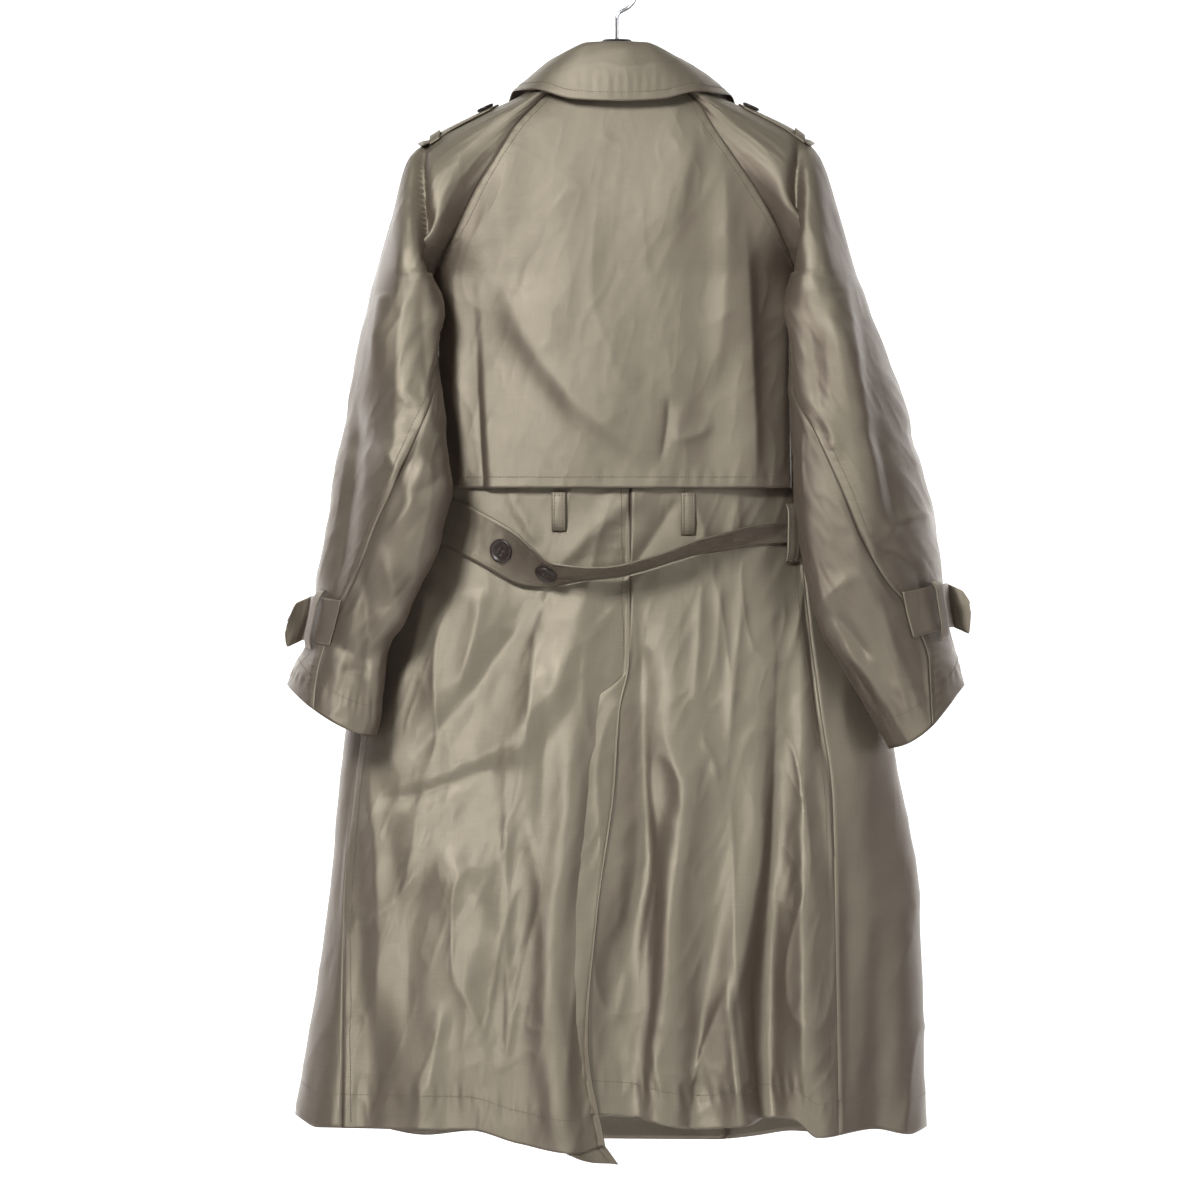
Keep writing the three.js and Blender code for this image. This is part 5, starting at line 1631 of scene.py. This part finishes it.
@dataclass
class Belt:
    """The loose belt, which follows the body and twists where it sags."""

    stations: int = 460
    steps: int = 15

    def line(self, count: int) -> dict[str, Grid]:
        """The middle line, the width direction, the face and the half width.

        Args:
            count: the number of places along the belt.

        Returns:
            The four by name, with each place's step in the table.
        """
        last = float(BELT.key[-1])
        across, front, drop = (BELT.column[name] for name in ("across", "front", "drop"))
        angle = np.where(front > 0, front_angle(across, drop), back_angle(across, drop))
        angle = np.where((front > 0) & (across < 0), angle - TURN, angle)
        turns = Table("step angle", list(zip(BELT.key, angle)))
        step = np.linspace(0, last, count)

        def middle(at: Grid) -> Grid:
            """The middle line's points at places between the table's steps."""
            return body_point(turns.at("angle", at), BELT.at("drop", at), BELT.at("lift", at))

        normal = body_normal(turns.at("angle", step), BELT.at("drop", step))
        run = unit(middle(np.minimum(step + 0.1, last)) - middle(np.maximum(step - 0.1, 0)))
        wide = unit(np.cross(run, normal))
        twist = np.radians(BELT.at("twist", step))[:, None]
        wide = wide * np.cos(twist) + np.cross(run, wide) * np.sin(twist)
        return {"middle": middle(step), "wide": wide, "face": unit(np.cross(wide, run)),
                "half": BELT.at("half", step), "step": step}

    def build(self) -> bpy.types.Object:
        """Makes the belt.

        Returns:
            The object.
        """
        line = self.line(self.stations)
        points = strip_points(line["middle"], line["wide"], line["half"], self.steps)
        sheet = Sheet(points, line["face"][:, None])
        run = np.linspace(0, 1900, self.stations)[:, None]
        v = np.linspace(-1, 1, self.steps)[None]
        relief = 0.9 * noise(run / 60, v * 1.5, 181) + 0.35 * noise(run / 16, v * 2.5, 184)
        seat = np.exp(-((line["step"][:, None] - 7) / 1.2) ** 2)
        relief = relief * (1 - seat) * ease(0, 40, run) + 0.3 * np.cos(v * 5.2)
        sheet = Sheet(sheet.points, sheet.outward).raised(relief * 0.8)
        return cloth_piece("belt", sheet, thickness=STRAP)

    def button_seats(self) -> list[tuple[Grid, Grid]]:
        """Where the belt's two buttons sit, and which way they face.

        Returns:
            A place and a direction for each button.
        """
        line = self.line(4000)
        seats = []
        on_back = (line["step"] > 6) & (line["step"] < 19)
        for across in (-115, -70):
            gap = np.where(on_back, np.abs(-line["middle"][:, 0] - across), np.inf)
            k = int(gap.argmin())
            face = line["face"][k] * np.sign(line["face"][k][1])
            seats.append((line["middle"][k] + face * (STRAP / 2 + SEAM_GAP + 0.5), face))
        return seats


def button_profile(radius: float) -> Grid:
    """The half section of a button with a raised rim and a dished face.

    Args:
        radius: the button's radius.

    Returns:
        Radius and height pairs.
    """
    points = [(0.04, 0.0), (0.8, 0.0), (0.93, 0.35), (1.0, 1.1), (0.99, 2.3), (0.94, 2.95), (0.86, 3.15),
              (0.78, 2.95), (0.72, 2.35), (0.66, 2.0)]
    points += [(r, 2.0) for r in (0.56, 0.48, 0.42, 0.37, 0.32, 0.28, 0.24, 0.2, 0.16, 0.12, 0.07, 0.03)]
    return np.array(points) * np.array([radius, 1.0])


@dataclass
class Button:
    """A four-hole button and the thread that crosses it."""

    name: str
    seat: Grid
    face: Grid
    radius: float
    spin: float = 0.6

    def build(self) -> list[bpy.types.Object]:
        """Makes the button and its thread.

        Returns:
            The two objects.
        """
        hole, reach = self.radius * 0.1, self.radius * 0.2

        def dents(x: Grid, y: Grid) -> Grid:
            """How deep the four holes sink at places on the face.

            Args:
                x: the places one way.
                y: the places the other way.

            Returns:
                The heights, 0 outside the holes.
            """
            turned_x = x * math.cos(self.spin) - y * math.sin(self.spin)
            turned_y = x * math.sin(self.spin) + y * math.cos(self.spin)
            away = np.hypot(np.abs(turned_x) - reach, np.abs(turned_y) - reach)
            return -1.3 * ease(hole * 1.25, hole * 0.75, away)

        disc = turned(f"{self.name}_disc", button_profile(self.radius), self.seat, self.face, 64, dents)
        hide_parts(self.name)
        axis = unit(np.asarray(self.face, float))
        first = unit(np.cross(axis, [0.0, 0.0, 1.0] if abs(axis[2]) < 0.9 else [0.0, 1.0, 0.0]))
        second = np.cross(axis, first)
        lines = []
        for x in (-1, 1):
            for shift in (-0.12, 0.12):
                t = np.linspace(-1, 1, 12)
                px, py = (x + shift) * reach, t * reach
                dx = px * math.cos(self.spin) + py * math.sin(self.spin)
                dy = -px * math.sin(self.spin) + py * math.cos(self.spin)
                up = 2.35 - 1.6 * np.abs(t) ** 6
                lines.append(self.seat + dx[:, None] * first + dy[:, None] * second + up[:, None] * axis)
        thread = stitch_object(f"{self.name}_thread", lines, self.radius * 0.12, self.radius * 0.06)
        return [disc, thread]


HANGER_ARMS = Table("across drop", [
    (-178, 176.8),
    (-139, 159.2),
    (-95, 140),
    (-48, 128),
    (0, 123.5),
    (48, 128),
    (95, 140),
    (139, 157.6),
    (178, 176),
])


@dataclass
class Hanger:
    """A plain hanger: two arms, a head and a wire hook."""

    wire: float = 2.0
    ring: float = 20.0
    head_top: float = 66.0

    def build(self) -> list[bpy.types.Object]:
        """Makes the arms, the head and the hook.

        Returns:
            The three objects.
        """
        fine = np.linspace(*HANGER_ARMS.key[[0, -1]], 140)
        line = place(fine, 0 * fine, HANGER_ARMS.at("drop", fine))
        arms = swept("hanger_arms", line, 7.0, 10.0, 28)
        profile = np.array([(0.5, -128), (15, -128), (16.4, -126), (17, -120), (17, -74), (16.4, -70),
                            (14.5, -67), (12.5, -66), (6, -66), (2.5, -66.2), (0.5, -66.2)], float)
        head = turned("hanger_head", profile, np.zeros(3), UPWARD)
        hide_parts("hanger")
        angle = np.radians(np.linspace(-70, 170, 90))
        centre = self.ring - self.wire
        stem = np.array([(0.0, self.head_top - 0.3), (0.0, 60), (0.0, 54), (0.0, 48)])
        bow = np.stack((self.ring * np.cos(angle), centre - self.ring * np.sin(angle)), 1)
        start = np.array([(0.0, centre + self.ring + 6), (2.2, centre + self.ring + 1.6)])
        path = np.concatenate((stem, start, bow))
        run = np.append(0, np.cumsum(np.hypot(*np.diff(path, axis=0).T)))
        even = np.linspace(0, run[-1], 160)
        px, pd = np.interp(even, run, path[:, 0]), np.interp(even, run, path[:, 1])
        hook = swept("hanger_hook_wire", place(px, 0 * px, pd), self.wire, self.wire, 16)
        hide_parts("hanger_hook")
        return [arms, head, hook]


@dataclass
class Stitching:
    """The rows of stitches that show on the cloth."""

    thick: float = 0.8
    pitch: float = 3.6

    def rows(self) -> dict[str, list[Grid]]:
        """The rows' lines of points, by the object that holds them.

        Returns:
            Lists of lines by the object's name.
        """
        raised = CLOTH / 2 + 0.1
        rows: dict[str, list[Grid]] = {"back": [], "flap": [], "sleeves": [], "collar": [], "straps": []}

        def down(sheet: Sheet, inset: float, from_first: bool, start: float, end: float) -> Grid:
            """A line down a sheet, an equal distance from its first or last column.

            Args:
                sheet: the cloth.
                inset: the distance, in millimetres.
                from_first: whether it is the first column.
                start: the drop where the line begins.
                end: the drop where it ends.

            Returns:
                The line's points.
            """
            points = sheet.points if from_first else sheet.points[::-1]
            run = np.cumsum(np.linalg.norm(np.diff(points, axis=0), axis=-1), axis=0)
            run = np.concatenate((np.zeros((1, run.shape[1])), run))
            i = np.array([np.interp(inset, column, np.arange(len(column))) for column in run.T])
            i = i if from_first else run.shape[0] - 1 - i
            j = np.arange(run.shape[1], dtype=float)
            drops = -sheet.points[0 if from_first else -1, :, 2]
            keep = (drops >= start) & (drops <= end)
            return sheet.sample(i[keep], j[keep], raised)

        def level(sheet: Sheet, inset: float) -> Grid:
            """A line along a sheet, an equal distance above its last row.

            Args:
                sheet: the cloth.
                inset: the distance, in millimetres.

            Returns:
                The line's points.
            """
            points = sheet.points[:, ::-1]
            run = np.cumsum(np.linalg.norm(np.diff(points, axis=1), axis=-1), axis=1)
            run = np.concatenate((np.zeros((run.shape[0], 1)), run), 1)
            j = np.array([np.interp(inset, row, np.arange(len(row))) for row in run])
            i = np.arange(run.shape[0], dtype=float)
            return sheet.sample(i, run.shape[1] - 1 - j, raised)

        left, right, flap = SHEETS["back_left"], SHEETS["back_right"], SHEETS["storm_flap"]
        rows["back"] += [down(left, 9, False, 490, 690), level(left, TURN_HEM), level(right, TURN_HEM)]
        rows["back"] += [down(left, 9, True, 500, HEM_LEVEL - 4), down(right, 9, False, 500, HEM_LEVEL - 4)]
        rows["flap"] += [level(flap, 11), down(flap, 9, True, 125, 312), down(flap, 9, False, 125, 312)]
        for name in ("front_left", "front_right"):
            rows["back"] += [level(SHEETS[name], TURN_HEM), down(SHEETS[name], 9, False, 390, HEM_LEVEL)]
        for name in ("left", "right"):
            upper, under = SHEETS[f"sleeve_upper_{name}"], SHEETS[f"sleeve_under_{name}"]
            rows["sleeves"] += [down(upper, 10, True, 325, 760), level(upper, 30), level(under, 30)]
            for strap in ("cuff_strap", "epaulette"):
                rows["straps"].append(self.outline(SHEETS[f"{strap}_{name}"], 5))
            lapel = SHEETS[f"lapel_{name}"]
            rows["collar"].append(down(lapel, 8, False, 0, 400))
        rows["collar"].append(level(SHEETS["collar_leaf"], 9))
        belt = SHEETS["belt"]
        for j in (1.6, belt.points.shape[1] - 2.6):
            i = np.arange(4, belt.points.shape[0] - 4, dtype=float)
            for lift in (STRAP / 2 + 0.1, -STRAP / 2 - 0.1):
                rows["straps"].append(belt.sample(i, np.full(len(i), j), lift))
        for belt_loop in BELT_LOOPS:
            loop = SHEETS[belt_loop.name]
            for i in (1.5, 3.0, 29.0, 30.5):
                rows["straps"].append(loop.sample(np.full(7, i), np.linspace(1, 7, 7), raised))
            for j in (1.5, 6.5):
                rows["straps"].append(loop.sample(np.arange(2, 31, dtype=float), np.full(29, j), raised))
        return rows

    @staticmethod
    def outline(sheet: Sheet, inset: float) -> Grid:
        """A line round a strap, inside its edge.

        Args:
            sheet: the strap.
            inset: the distance from its edge, in millimetres.

        Returns:
            The line's points.
        """
        columns, rows = sheet.points.shape[:2]
        long = np.linalg.norm(np.diff(sheet.points[:, rows // 2], axis=0), axis=-1).sum() / (columns - 1)
        wide = np.linalg.norm(np.diff(sheet.points[columns // 2], axis=0), axis=-1).sum() / (rows - 1)
        i0, i1 = inset / long, columns - 1 - 1.6 * inset / long
        j0, j1 = inset / wide, rows - 1 - inset / wide
        i, j = np.linspace(i0, i1, 60), np.linspace(j0, j1, 20)
        path_i = np.concatenate((i, np.full(20, i1), i[::-1]))
        path_j = np.concatenate((np.full(60, j0), j, np.full(60, j1)))
        return sheet.sample(path_i, path_j, STRAP / 2 + 0.1)

    def build(self) -> list[bpy.types.Object]:
        """Makes the stitches.

        Returns:
            One object for each group of rows.
        """
        made = []
        for name, lines in self.rows().items():
            piece = stitch_object(f"stitches_{name}", lines, self.pitch, self.thick)
            made.append(piece)
        return made


@dataclass(frozen=True)
class ClothFinish:
    """A finely woven cloth: the colour painted on faces that look straight back or up (lit), the darker,
    browner colour painted on faces turned sideways or downward as painted shade and sheen (turned), and how
    it takes the light.
    """

    name: str
    # lit and turned are painted shade and sheen: the cloth's colour where its faces look straight back or
    # up, and the darker, browner colour where they turn sideways or downward.
    lit: tuple[float, float, float]
    turned: tuple[float, float, float]
    roughness: float = 0.39
    satin: float = 0.46
    sheen: float = 0.05
    weave: float = 0.9
    crumple: float = 0.3


@dataclass(frozen=True)
class PlainFinish:
    """A smooth finish with slight unevenness."""

    name: str
    color: tuple[float, float, float]
    second: tuple[float, float, float]
    roughness: float
    metallic: float = 0.0
    grain: float = 120.0
    bump: float = 0.02


class NodeTree:
    """A short way to build a material from nodes."""

    def __init__(self, name: str) -> None:
        """Starts an empty material.

        Args:
            name: the material's name.
        """
        self.material = bpy.data.materials.new(name)
        self.material.use_nodes = True
        self.tree = self.material.node_tree
        self.tree.nodes.clear()
        self.shader = self.add("ShaderNodeBsdfPrincipled")
        output = self.add("ShaderNodeOutputMaterial")
        self.tree.links.new(self.shader.outputs[0], output.inputs["Surface"])

    def add(self, kind: str, settings: Optional[dict] = None, **inputs: object) -> bpy.types.Node:
        """A node with its settings, its values and its links.

        Args:
            kind: Blender's name for the node.
            settings: its own options.
            inputs: values or outputs for its sockets, by name with _ for a space, or
                by number as i0, i1 and so on.

        Returns:
            The node.
        """
        node = self.tree.nodes.new(kind)
        for key, value in (settings or {}).items():
            setattr(node, key, value)
        for key, value in inputs.items():
            numbered = key[0] == "i" and key[1:].isdigit()
            self.put(node.inputs[int(key[1:]) if numbered else key.replace("_", " ")], value)
        return node

    def put(self, socket: bpy.types.NodeSocket, value: object) -> None:
        """Sets a socket, or links an output to it."""
        if isinstance(value, bpy.types.NodeSocket):
            self.tree.links.new(value, socket)
        elif isinstance(value, tuple) and len(value) == 3 and socket.type == "RGBA":
            socket.default_value = (*value, 1.0)
        else:
            socket.default_value = value

    def blend(self, share: object, first: object, second: object) -> bpy.types.NodeSocket:
        """A colour between two colours."""
        node = self.add("ShaderNodeMix", {"data_type": "RGBA"}, i0=share, i6=first, i7=second)
        return node.outputs[2]

    def ramp(self, value: object, low: float, high: float, to_low: float = 0.0,
             to_high: float = 1.0) -> bpy.types.NodeSocket:
        """A value moved from one range to another, smoothly."""
        node = self.add("ShaderNodeMapRange", {"interpolation_type": "SMOOTHSTEP"}, Value=value,
                        From_Min=low, From_Max=high, To_Min=to_low, To_Max=to_high)
        return node.outputs[0]

    def math(self, operation: str, first: object, second: object = 0.0) -> bpy.types.NodeSocket:
        """The result of a sum."""
        return self.add("ShaderNodeMath", {"operation": operation}, i0=first, i1=second).outputs[0]


def cloth_material(finish: ClothFinish) -> bpy.types.Material:
    """A fine plain weave with a soft sheen, its colour painted darker and browner where its faces turn
    sideways or downward: painted shade and sheen.

    Args:
        finish: the cloth's finish.

    Returns:
        The material.
    """
    t = NodeTree(finish.name)
    place_node = t.add("ShaderNodeTexCoord")
    objects, cloth, normal = (place_node.outputs[name] for name in ("Object", "UV", "Normal"))
    # Painted shade and sheen: faces turned sideways (lean) or downward (down) take the darker, browner tone,
    # and the noise adds uneven tone at random.
    sides = t.add("ShaderNodeSeparateXYZ", Vector=normal)
    lean = t.math("ABSOLUTE", sides.outputs[0])
    down = t.math("MULTIPLY", sides.outputs[2], -0.6)
    broad = t.add("ShaderNodeTexNoise", Vector=objects, Scale=4.0, Detail=3.0, Roughness=0.55)
    uneven = t.math("MULTIPLY_ADD", broad.outputs[0], 0.7)
    t.put(uneven.node.inputs[2], -0.35)
    total = t.math("ADD", t.math("ADD", lean, down), uneven)
    share = t.ramp(total, 0.05, 0.75)
    tone_and_painted_shade = t.blend(share, finish.lit, finish.turned)
    streak_place = t.add("ShaderNodeMapping", Vector=cloth, Scale=(900.0, 30.0, 1.0))
    streaks = t.add("ShaderNodeTexNoise", Vector=streak_place.outputs[0], Scale=1.0, Detail=2.0)
    cross_place = t.add("ShaderNodeMapping", Vector=cloth, Scale=(30.0, 900.0, 1.0))
    cross = t.add("ShaderNodeTexNoise", Vector=cross_place.outputs[0], Scale=1.0, Detail=2.0)
    threads = t.math("ADD", streaks.outputs[0], cross.outputs[0])
    shade = t.ramp(threads, 0.7, 1.3, 0.97, 1.03)
    color = t.add("ShaderNodeVectorMath", {"operation": "SCALE"}, i0=tone_and_painted_shade)
    t.put(color.inputs["Scale"], shade)
    across, along = (t.add("ShaderNodeTexWave", {"bands_direction": way}, Vector=cloth, Scale=420.0,
                           Distortion=0.6).outputs["Fac"] for way in "XY")
    weave = t.math("MULTIPLY", across, along)
    crinkle = t.add("ShaderNodeTexNoise", Vector=objects, Scale=60.0, Detail=3.0, Roughness=0.6)
    relief = t.math("MULTIPLY_ADD", crinkle.outputs[0], 2.5)
    t.put(relief.node.inputs[2], weave)
    long_place = t.add("ShaderNodeMapping", Vector=objects, Rotation=(0.3, 0.0, 0.0), Scale=(1.0, 1.0, 0.5))
    ridged = t.add("ShaderNodeTexNoise", {"noise_type": "RIDGED_MULTIFRACTAL"}, Vector=long_place.outputs[0],
                   Scale=7.5, Detail=2.0, Roughness=0.5, Offset=0.9, Gain=1.0, Distortion=0.7)
    creased_bump = t.add("ShaderNodeBump", Strength=finish.crumple, Distance=0.004,
                         Height=ridged.outputs[0])
    bump = t.add("ShaderNodeBump", Strength=finish.weave * 0.3, Distance=0.0006, Height=relief,
                 Normal=creased_bump.outputs[0])
    rough = t.ramp(broad.outputs[0], 0.3, 0.7, finish.roughness - 0.06, finish.roughness + 0.06)
    shader = t.shader
    t.put(shader.inputs["Base Color"], color.outputs[0])
    t.put(shader.inputs["Roughness"], rough)
    t.put(shader.inputs["Normal"], bump.outputs[0])
    t.put(shader.inputs["Metallic"], finish.satin)
    t.put(shader.inputs["Sheen Weight"], finish.sheen)
    t.put(shader.inputs["Sheen Roughness"], 0.35)
    t.put(shader.inputs["Sheen Tint"], (0.62, 0.52, 0.46))
    t.put(shader.inputs["Specular IOR Level"], 0.45)
    return t.material


def plain_material(finish: PlainFinish) -> bpy.types.Material:
    """A moulded, polished or plated surface.

    Args:
        finish: the surface's finish.

    Returns:
        The material.
    """
    t = NodeTree(finish.name)
    place_node = t.add("ShaderNodeTexCoord")
    cloud = t.add("ShaderNodeTexNoise", Vector=place_node.outputs["Object"], Scale=finish.grain, Detail=4.0)
    color = t.blend(t.ramp(cloud.outputs[0], 0.35, 0.65), finish.color, finish.second)
    t.put(t.shader.inputs["Base Color"], color)
    low, high = finish.roughness * 0.85, finish.roughness * 1.15
    t.put(t.shader.inputs["Roughness"], t.ramp(cloud.outputs[0], 0.3, 0.7, low, high))
    t.put(t.shader.inputs["Metallic"], finish.metallic)
    bump = t.add("ShaderNodeBump", Strength=finish.bump, Distance=0.0004, Height=cloud.outputs[0])
    t.put(t.shader.inputs["Normal"], bump.outputs[0])
    return t.material


CLOTH_FINISH = ClothFinish("coat_cloth", (0.24, 0.209, 0.155), (0.148, 0.117, 0.09))
# A darker copy of the cloth: painted shade for the pieces that lie in shadow, the vent facing, the fronts,
# the lapels and the sleeves' under parts.
PAINTED_SHADE_FINISH = ClothFinish("coat_cloth_painted_shade", (0.21, 0.18, 0.135), (0.13, 0.103, 0.08))
THREAD_FINISH = PlainFinish("sewing_thread", (0.12, 0.098, 0.07), (0.16, 0.13, 0.095), 0.6, grain=300.0)
BUTTON_FINISH = PlainFinish("button_dark", (0.018, 0.013, 0.011), (0.035, 0.024, 0.018), 0.34, grain=260.0)
HANGER_FINISH = PlainFinish("hanger_black", (0.012, 0.011, 0.012), (0.02, 0.018, 0.018), 0.4)
WIRE_FINISH = PlainFinish("hook_wire", (0.6, 0.61, 0.63), (0.52, 0.53, 0.55), 0.2, 1.0)


@dataclass
class Studio:
    """A pale floor and backdrop, soft lamps and the camera."""

    floor_front: float = 5200.0
    wall_back: float = 1300.0
    wall_top: float = 3200.0
    half_wide: float = 6000.0
    bend_radius: float = 900.0
    eye_drop: float = 0.63
    eye_across: float = 0.017
    away: float = 16.0
    seen: float = 1.2
    plane: float = 0.09
    floor: float = -1.75

    def backdrop(self) -> None:
        """Makes the floor and the wall behind the coat, in one bent sheet."""
        ground = self.floor / MM
        bend = np.radians(np.linspace(0, 90, 25))
        back = self.bend_radius * (1 - np.sin(bend)) - self.wall_back
        up = self.bend_radius * (1 - np.cos(bend)) + ground
        depth = np.concatenate(([self.floor_front], back, [-self.wall_back]))
        height = np.concatenate(([ground], up, [self.wall_top]))
        x = np.array([-self.half_wide, self.half_wide])[:, None]
        points = np.stack(np.broadcast_arrays(x, depth, height), -1)
        piece = make_object("backdrop", points.reshape(-1, 3), [grid_quads(2, len(depth))])
        piece.parent = None
        del piece["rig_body"]
        finish = PlainFinish("backdrop_white", (0.9, 0.9, 0.9), (0.93, 0.93, 0.93), 0.9, grain=2.0)
        piece.data.materials.append(plain_material(finish))
        piece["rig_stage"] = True

    def lamp(self, name: str, at: Sequence[float], target: Sequence[float], size: float,
             watts: float) -> None:
        """A soft square lamp that looks at a target.

        Args:
            name: the lamp's name.
            at: where it hangs, in metres.
            target: what it looks at.
            size: its side's length.
            watts: its strength.
        """
        light = bpy.data.lights.new(name, "AREA")
        light.size, light.energy = size, watts
        lamp = bpy.data.objects.new(name, light)
        lamp.location = at
        lamp.rotation_euler = (Vector(target) - Vector(at)).to_track_quat("-Z", "Y").to_euler()
        bpy.context.scene.collection.objects.link(lamp)

    def build(self) -> None:
        """Makes the stage."""
        self.backdrop()
        middle = (0.0, 0.0, -0.55)
        self.lamp("key", (1.5, 3.0, 1.2), middle, 0.8, 134)
        self.lamp("fill", (-2.6, 2.7, -0.3), middle, 1.6, 30)
        self.lamp("front_side", (0.8, -3.4, 1.2), middle, 2.0, 70)
        for side in (-1, 1):
            self.lamp(f"wall_{side}", (1.5 * side, -0.4, -0.3), (1.2 * side, -1.3, -0.5), 1.2, 34)
        world = bpy.data.worlds.new("studio")
        world.use_nodes = True
        world.node_tree.nodes["Background"].inputs[0].default_value = (1, 1, 1, 1)
        world.node_tree.nodes["Background"].inputs[1].default_value = 0.08
        bpy.context.scene.world = world
        bpy.context.scene.view_settings.view_transform = "Standard"
        camera = bpy.data.cameras.new("camera")
        camera.sensor_width = 36
        camera.lens = 36 * (self.away - self.plane) / self.seen
        camera.clip_end = 100
        eye = bpy.data.objects.new("camera", camera)
        eye.location = (self.eye_across, self.away, -self.eye_drop)
        eye.rotation_euler = (math.pi / 2, 0, math.pi)
        bpy.context.scene.collection.objects.link(eye)
        bpy.context.scene.camera = eye


def paint(pieces: Sequence[bpy.types.Object], material: bpy.types.Material) -> None:
    """Gives pieces their finish."""
    for piece in pieces:
        piece.data.materials.clear()
        piece.data.materials.append(material)


def build_coat() -> None:
    """Makes every piece of the coat and its hanger, and finishes them."""
    cloth = [BackPanel(side).build() for side in Side] + [StormFlap().build()]
    # The pieces that lie in shadow take the darker copy of the cloth, as painted shade.
    shade = [VentFacing().build()]
    LOG.info("back panels, storm flap and vent made")
    shade += [FrontPanel(side).build() for side in Side] + [Lapel(side).build() for side in Side]
    for side in Side:
        upper, under = Sleeve(side).build()
        cloth.append(upper)
        shade.append(under)
        cloth += Epaulette(side).build() + CuffStrap(side).build()
    LOG.info("fronts and sleeves made")
    cloth += Collar().build()
    cloth += [loop.build() for loop in BELT_LOOPS]
    belt = Belt()
    cloth.append(belt.build())
    buttons, threads = [], []
    seats = [(f"belt_button_{k + 1}", *seat, BUTTON_RADIUS) for k, seat in enumerate(belt.button_seats())]
    places = [(drop, across) for drop in FRONT_BUTTON_DROPS for across in (-52.0, 52.0)]
    for count, (drop, across) in enumerate(places, 1):
        lift = RIGHT_FRONT_OUT + CLOTH / 2 + SEAM_GAP + (0.8 if drop > 600 else 0.1)
        angle = front_angle(across, np.array(drop))
        seat = body_point(angle, drop, lift)
        face = body_point(angle, drop, lift + 1) - seat
        seats.append((f"front_button_{count}", seat, face, BUTTON_RADIUS))
    for side in Side:
        drop = np.array(150.0)
        normal = ridge_normal(side, drop)
        seat = sleeve_point(side, 0.0, drop) + normal * (LAYER + 0.7 + STRAP / 2 + SEAM_GAP)
        seats.append((f"epaulette_button_{side.value}", seat, normal, SMALL_BUTTON_RADIUS))
    for name, seat, face, radius in seats:
        disc, thread = Button(name, seat, face, radius).build()
        buttons.append(disc)
        threads.append(thread)
    threads += Stitching().build()
    arms, head, hook = Hanger().build()
    paint(cloth, cloth_material(CLOTH_FINISH))
    paint(shade, cloth_material(PAINTED_SHADE_FINISH))
    paint(threads, plain_material(THREAD_FINISH))
    paint(buttons, plain_material(BUTTON_FINISH))
    paint([arms, head], plain_material(HANGER_FINISH))
    paint([hook], plain_material(WIRE_FINISH))
    LOG.info("trims, belt, buttons, stitches and hanger made")


def main() -> None:
    """Builds the coat and the studio."""
    logging.basicConfig(level=logging.INFO, format="%(name)s: %(message)s")
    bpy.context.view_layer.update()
    build_coat()
    Studio().build()
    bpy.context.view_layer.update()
    faces = {o.name: len(o.data.polygons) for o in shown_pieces() if o.type == "MESH"}
    LOG.info("faces in all: %d", sum(faces.values()))


if __name__ == "__main__":
    main()
